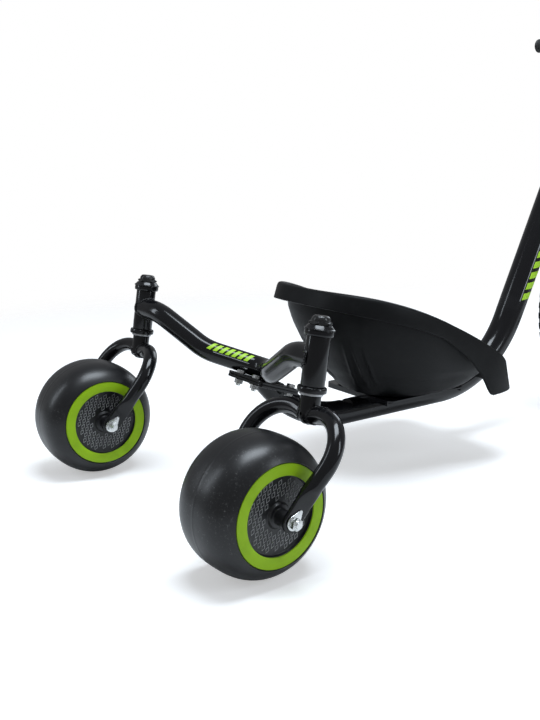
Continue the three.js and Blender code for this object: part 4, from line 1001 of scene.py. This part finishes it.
def bowl_rings(offset, up):
    rings = []
    for rear, front, half, back_round, front_round, low, high in flowing(bowl_shares, 7):
        def height(share, across, low=low, high=high):
            rise = low + (high - low) * share ** 2
            return pan + up + (rim_height(share, across) - pan - up) * rise
        rings.append(seat_ring(
            seat_rear + rear * seat_length - offset, seat_nose - front * seat_length + offset,
            half * seat_side + offset, back_round, front_round, height,
        ))
    return rings


def rim_ring(inset, drop):
    return seat_ring(
        seat_rear + inset, seat_nose - inset - rim_setback, seat_side - inset, rear_round, nose_round,
        lambda share, across: rim_height(share, across) - drop,
    )


def skirt_ring(inset, up):
    return seat_ring(
        seat_rear + inset - skirt_flare, seat_nose - inset, seat_side - inset, rear_round, nose_round,
        lambda share, across: skirt_height(share, across) + up,
    )


rib_height, rib_width, rib_start_share, rib_run_share = 3.6, 2.7, 0.36, 0.36
step_height, step_share, step_soft_share, step_low_share, step_high_share = 1.5, 0.48, 0.012, 0.2, 0.92
rib_places = [(41, 106), (62, 72), (78, 76)]


def ribbed(ring, share):
    """Three leaning ribs at each rear corner of the bowl, over the step that runs round its lower part."""
    made = ring.copy()
    middle = np.array([(seat_rear + seat_nose) / 2, 0])
    out = made[:, :2] - middle
    out /= np.linalg.norm(out, axis=1)[:, None]
    step = step_height * math.tanh((share - step_share) / step_soft_share)
    made[:, :2] += out * (step * (share > step_low_share) * (share < step_high_share))
    rise = math.sin(math.pi * min(max((share - rib_start_share) / rib_run_share, 0), 1)) ** 0.5
    for place, lean in rib_places:
        crest = place + lean * (share - 0.5)
        push = rib_height * rise * np.exp(-((np.abs(made[:, 1]) - crest) / rib_width) ** 2)
        push *= made[:, 0] < seat_rear + 0.4 * seat_length
        made[:, :2] += out * push[:, None]
    return made


inner = bowl_rings(0, wall)
outer = bowl_rings(wall, 0)
outer = [ribbed(ring, k / (len(outer) - 1)) for k, ring in enumerate(outer)]
edge_path = [
    (rim_ring(13, 0), 5), (rim_ring(3, 0), 4.5), (rim_ring(0.3, 6), 0), (skirt_ring(0, 2.5), 1.4),
    (skirt_ring(wall, 0.6), 1.4), (rim_ring(8, 8), 3),
]
corners = [inner[-1]] + [ring for ring, _ in edge_path] + [outer[-1]]
radii = [0] + [radius for _, radius in edge_path] + [0]
edge_rings = []
for k in range(1, len(corners) - 1):
    if not radii[k]:
        edge_rings.append(corners[k])
        continue
    a, b = corners[k - 1] - corners[k], corners[k + 1] - corners[k]
    room_a = np.linalg.norm(a, axis=1)[:, None]
    room_b = np.linalg.norm(b, axis=1)[:, None]
    reach_a, reach_b = np.minimum(radii[k], room_a * 0.48), np.minimum(radii[k], room_b * 0.48)
    for t in np.linspace(0, 1, 5):
        edge_rings.append(corners[k] + a / room_a * reach_a * (1 - t) ** 2 + b / room_b * reach_b * t ** 2)
seat_rings = np.array(inner + edge_rings + outer[::-1])
seat_rings = seat_rings * mm + np.array(row_origin.translation)
seat = skinned("seat_bucket", [seat_rings], "frame", seat_plastic)


def clearing_section(share):
    size = main_radius(share * main_length) + 2
    return size, size, 2


clearing = drawn(
    "clearing", main_spine, clearing_section, Vector((0, 1, 0)), row_origin, "frame", seat_plastic, 48,
)
holed(seat, [clearing])
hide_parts("seat_shell")


# Seat bracket: folded steel plate that saddles the main tube, painted black. Four round-headed zinc bolts
# hold the seat down on it.
def carried(names, finish, edge):
    """CAD pieces that show as they are, with a finish and soft edges."""
    for name in names:
        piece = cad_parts[name]
        finished(piece, finish)
        smoothed(piece)
        bevel = piece.modifiers.new("soft_edges", "BEVEL")
        bevel.width = edge * mm
        bevel.segments = 2
        bevel.limit_method = "ANGLE"
        bevel.angle_limit = math.radians(44)
        bevel.harden_normals = True


carried(["seat_bracket"], black_paint, 0.8)
seat_bolt, seat_flats, seat_floor = 3, 10, 0.1486
seat_nut_levels = (-12.9, -7.9, seat_bolt - 0.1)
seat_bolt_head = [(0.01, 0), (8, 0, 0.4), (7.4, 1.6, 1.2), (5, 2.9, 2), (0.01, 3)]
for k, (x, y) in enumerate([(0.435, 50), (0.435, -50), (0.638, 50), (0.638, -50)]):
    place = row_origin @ Matrix.Translation(((seat_rear + seat_length * x) * mm, y * mm, seat_floor))
    bolt = [f"seat_bolt_{k + 1}"]
    turned(f"seat_bolt_head_{k + 1}", seat_bolt_head, place, "frame", zinc, 48, replaces=bolt)
    shank(f"seat_bolt_shank_{k + 1}", seat_bolt, -15.9, 0.5, place, "frame")
    nut(f"seat_bolt_nut_{k + 1}", seat_flats, *seat_nut_levels, place, "frame", zinc)


# Steering: a fork of two bent steel legs is welded to a steerer in the head tube, with a bearing ring at each
# foot. A quill stem is wedged in the steerer and clamps a low riser bar with ribbed rubber grips.
to_side = Matrix.Rotation(-math.pi / 2, 4, "X")
fork_half, fork_shoulder, fork_rake = 62, 291.5, 30
fork_radius, fork_thinning, fork_even = 12.7, 2.2, 0.6
boss_radius, housing_radius = 18, 22
fork_corners = [
    Vector((0, 0, 300)), Vector((0, fork_half, fork_shoulder)), Vector((fork_rake, fork_half, 0)),
]
fork_bend = 42
fork_leg = bent(fork_corners, [fork_bend], 4)


def fork_section(share):
    size = fork_radius - fork_thinning * max(share - fork_even, 0) / (1 - fork_even)
    return size, size, 2


fork = turned("front_fork_steerer", [
    (11.5, 289.65), (boss_radius, 289.65, 1), (boss_radius, 323.65, 1), (front_steerer, 323.65),
    (front_steerer, 468, 1), (11.5, 468),
], steering, "steering", black_paint)
fork_pieces = [fork]
housing_outline = [(16.3, -7, 0.6), (housing_radius, -7, 1), (housing_radius, 7, 1), (16.3, 7, 0.6)]
half_race = [(8.8, -6, 0.4), (11, -6, 0.4), (11.4, -5.2), (13.4, -5.2), (13.8, -6, 0.4), (16, -6, 0.4)]
race_outline = half_race + mirrored(half_race)
for label, sign in (("left", 1), ("right", -1)):
    leg_place = steering @ Matrix.Scale(sign, 4, (0, 1, 0))
    across = Vector((1, 0, 0))
    name = f"fork_leg_{label}"
    fork_pieces.append(drawn(name, fork_leg, fork_section, across, leg_place, "steering", black_paint, 40))
    ring_place = steering @ Matrix.Translation(Vector((fork_rake, sign * fork_half, 0)) * mm) @ to_side
    name = f"bearing_housing_{label}"
    fork_pieces.append(turned(name, housing_outline, ring_place, "steering", black_paint))
    to_crown = fork_corners[0] - fork_corners[1]
    loop = meeting(fork_corners[1], to_crown, fork_radius, (0, 0, 0), (0, 0, 1), boss_radius)
    bead(f"fork_crown_weld_{label}", loop, leg_place, "steering", width=1.9)
    loop = meeting((24.17, fork_half, 60), (5.8, 0, -60), 10.9, (fork_rake, 0, 0), (0, 1, 0), housing_radius)
    bead(f"fork_foot_weld_{label}", loop, leg_place, "steering", width=1.6)
    race = [f"front_bearing_{label}"]
    turned(f"bearing_race_{label}", race_outline, ring_place, "steering", steel, replaces=race)
merged(fork_pieces, "front_fork_tubes")
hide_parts("front_fork")
lock_flats, lock_levels = 36, (16.3, 25.3, front_steerer + clearance)
nut("head_lock_nut", lock_flats, *lock_levels, head_top, "steering", zinc, ["front_lock_nut"])
carried(["stem"], black_paint, 1.0)

bar = steering @ Matrix.Translation((0.055, 0, 0.508)) @ Matrix.Rotation(steering_lean, 4, "Y")
bar_rise, bar_radius, bar_bend = 76, 11.1, 30
bar_half = [Vector((0, 197.5, bar_rise)), Vector((0, 92, bar_rise)), Vector((0, 42, 0))]
bar_spine = bent([*bar_half, *over_the_middle(bar_half)], [bar_bend] * 4)
drawn(
    "handlebar_tube", bar_spine, lambda share: (bar_radius, bar_radius, 2), Vector((1, 0, 0)), bar,
    "steering", black_paint, 44, ["handlebar"],
)
grip_rubber = Finish("grip_rubber", "grip_rubber")
grip_colour, grip_dust = dusty(grip_rubber, (0.011, 0.011, 0.011), (0.07, 0.068, 0.064), 0.4, 40)
grip_rubber.feed(
    Base_Color=grip_colour,
    Roughness=0.62 + grip_dust * 0.2,
    Normal=grip_rubber.bump(grip_rubber.noise(1100, 2), 0.0002, 0.6),
)
rib_count, first_rib, rib_pitch, rib_radius, groove_radius = 13, 126.5, 5.2, 15.5, 14.3
grip_ribs = []
for k in range(rib_count):
    start = first_rib + rib_pitch * k
    grip_ribs += [(rib_radius, start, 0.8), (rib_radius, start + 3.1, 0.8)]
    grip_ribs += [(groove_radius, start + 3.9, 0.6), (groove_radius, start + 4.4, 0.6)]
grip_outline = [
    (11.3, 116, 0.6), (20, 116, 1.4), (20, 119.8, 1.4), (rib_radius, 122.5, 1.5), *grip_ribs,
    (rib_radius, 195, 0.8), (15.3, 198, 2), (13, 200, 1), (0.01, 200), (0.01, 197.8), (11.3, 197.8),
]
for label, sign in (("left", 1), ("right", -1)):
    grip_place = bar @ Matrix.Scale(sign, 4, (0, 1, 0)) @ lift(bar_rise) @ to_side
    turned(f"{label}_grip", grip_outline, grip_place, "steering", grip_rubber, 64, 3, [f"grip_{label}"])


# Front wheel: a rubber tyre with a blocked tread sits on a deep painted rim. The rim is carried by a
# five-spoked plastic centre, which is keyed to the crank axle.
tyre_rubber = Finish("tyre_rubber", "tyre_rubber")
tyre_colour, tyre_dust = dusty(tyre_rubber, (0.011, 0.011, 0.011), (0.075, 0.072, 0.067), 0.45, 24)
tyre_rubber.feed(
    Base_Color=tyre_colour,
    Roughness=0.66 + tyre_dust * 0.2,
    Normal=tyre_rubber.bump(tyre_rubber.noise(800, 3), 0.0002, 0.6),
)
wheel = steering @ Matrix.Translation((fork_rake * mm, 0, 0)) @ Matrix.Rotation(steering_lean, 4, "Y")
wheel_across = wheel @ to_side
half_tyre = [
    (208.3, 13.7), (211, 15.5, 2), (214.3, 16.7, 2), (218.3, 21.5, 4), (230.8, 24.8, 8), (241.8, 21.5, 5),
    (247.5, 15.5, 3), (250.4, 9, 3),
]
tyre_radius, tread_radius, crown_side, block_height, block_edge = 251.2, 254, 9, 2.7, 0.6
tyre_outline = half_tyre + [(tyre_radius, 0, 2)] + mirrored(half_tyre)
tyre = turned("tyre_casing", tyre_outline, wheel_across, "front_wheel", tyre_rubber, 160, 4)


def tread_block(turn, low, high, reach, skew):
    """A tread block: its place round the wheel, its run across the tread and its length round the wheel."""
    rings = []
    for y in np.linspace(low, high, 5):
        if abs(y) < crown_side:
            base = tyre_radius - 0.011 * y * y
        else:
            base = tyre_radius - 0.9 - 0.062 * (abs(y) - crown_side) ** 2
        top = min(base + block_height, tread_radius - 0.012 * y * y)
        low_half = [(-0.5, base - 1.5), (-0.5, top - block_edge), (-0.42, top)]
        ring = []
        for along, height in low_half + [(-along, height) for along, height in reversed(low_half)]:
            angle = turn + (along * reach + skew * (y - (low + high) / 2)) / tread_radius
            corner = Vector((height * math.cos(angle), height * math.sin(angle), y))
            ring.append(wheel_across @ (corner * mm))
        rings.append(ring)
    return rings


tread_count = 66
blocks = []
for k in range(tread_count):
    turn = 2 * math.pi * k / tread_count
    offset = math.pi / tread_count
    blocks += [
        tread_block(turn, -4.6, 4.6, 15, 0.35 * (-1) ** k),
        tread_block(turn + offset, 6.4, 12.6, 16, 0.5),
        tread_block(turn + offset, -12.6, -6.4, 16, -0.5),
        tread_block(turn, 14.2, 18.4, 13, 0.3),
        tread_block(turn, -18.4, -14.2, 13, -0.3),
    ]
tread = skinned("tyre_tread", blocks, "front_wheel", tyre_rubber)
merged([tyre, tread], "tyre_casing")
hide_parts("front_tyre")

half_rim = [(197, 14, 1.5), (203, 20, 2), (211.5, 20, 2), (214, 18.5, 1), (213.6, 17, 0.8), (208, 14, 2)]
rim_outline = half_rim + mirrored(half_rim)
turned("rim_hoop", rim_outline, wheel_across, "front_wheel", black_paint, 160, 4, ["front_rim"])

centre_plastic = Finish("front_centre_plastic", "wheel_plastic")
centre_colour, centre_dust = dusty(centre_plastic, (0.008, 0.008, 0.0085), (0.045, 0.045, 0.043), 0.4, 18)
centre_plastic.feed(
    Base_Color=centre_colour,
    Roughness=0.34 + centre_dust * 0.3,
    Normal=centre_plastic.bump(centre_plastic.noise(900, 2), 0.00012, 0.5),
)
half_hub = [(8.8, -54.7), (13.5, -54.7, 1), (13.5, -31, 2), (26, -28, 3)]
hub_outline = half_hub + mirrored(half_hub)
hub = turned("wheel_hub", hub_outline, wheel_across, "front_wheel", centre_plastic, 72, 4)


def spoke_section(share):
    wide = np.interp(share, [0, 0.3, 0.8, 1], [20, 16, 11.2, 14])
    deep = np.interp(share, [0, 0.3, 0.8, 1], [17, 14, 11, 15.4])
    return float(wide), float(deep), 3.6


spoke_count, spoke_start, spoke_end = 5, 13, 195.5
spokes = [hub]
for k in range(spoke_count):
    angle = 2 * math.pi * k / spoke_count + math.pi / 2
    out = Vector((math.cos(angle), 0, math.sin(angle)))
    points = [out * along for along in np.linspace(spoke_start, spoke_end, 40)]
    spokes.append(drawn(
        f"spoke_{k + 1}", points, spoke_section, Vector((0, 1, 0)), wheel, "front_wheel", centre_plastic, 36,
    ))
merged(spokes, "wheel_hub")
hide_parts("front_wheel_centre")
carried(["crank_axle"], steel, 0.4)


# Cranks and pedals: forged steel arms, painted black, up on the left and down on the right, each with a
# moulded pedal on a steel spindle.
pedal_plastic = Finish("pedal_plastic", "pedal_plastic")
pedal_colour, pedal_dust = dusty(pedal_plastic, (0.01, 0.01, 0.0105), (0.075, 0.073, 0.068), 0.45, 34)
pedal_plastic.feed(
    Base_Color=pedal_colour,
    Roughness=0.48 + pedal_dust * 0.3,
    Normal=pedal_plastic.bump(pedal_plastic.noise(1300, 2), 0.00015, 0.5),
)
carried(["crank_left", "crank_right"], black_paint, 1.2)
carried(["pedal_spindle_left", "pedal_spindle_right"], steel, 0.4)
carried(["pedal_left", "pedal_right"], pedal_plastic, 1.0)
pedal_out, crank_length = 98, 127
ridge_count, first_ridge, ridge_pitch, ridge_out = 9, 10, 8.5, 40.9
ridge_corners = [(-3.6, -1.5), (3.6, -1.5), (3.6, 1.5), (-3.6, 1.5)]
for label, sign in (("left", 1), ("right", -1)):
    place = wheel @ Matrix.Translation(Vector((0, sign * pedal_out, sign * crank_length)) * mm)
    place = place @ Matrix.Scale(sign, 4, (0, 1, 0))
    ridges = []
    for face in (1, -1):
        for k in range(ridge_count):
            y = first_ridge + ridge_pitch * k
            for x in (-ridge_out, ridge_out):
                ridges.append([
                    [place @ (Vector((x + a * grow, y + b * grow, face * z)) * mm) for a, b in ridge_corners]
                    for z, grow in ((10.4, 1), (11.7, 1), (12, 0.7))
                ])
    skinned(f"pedal_ridges_{label}", ridges, f"{label}_pedal", pedal_plastic)
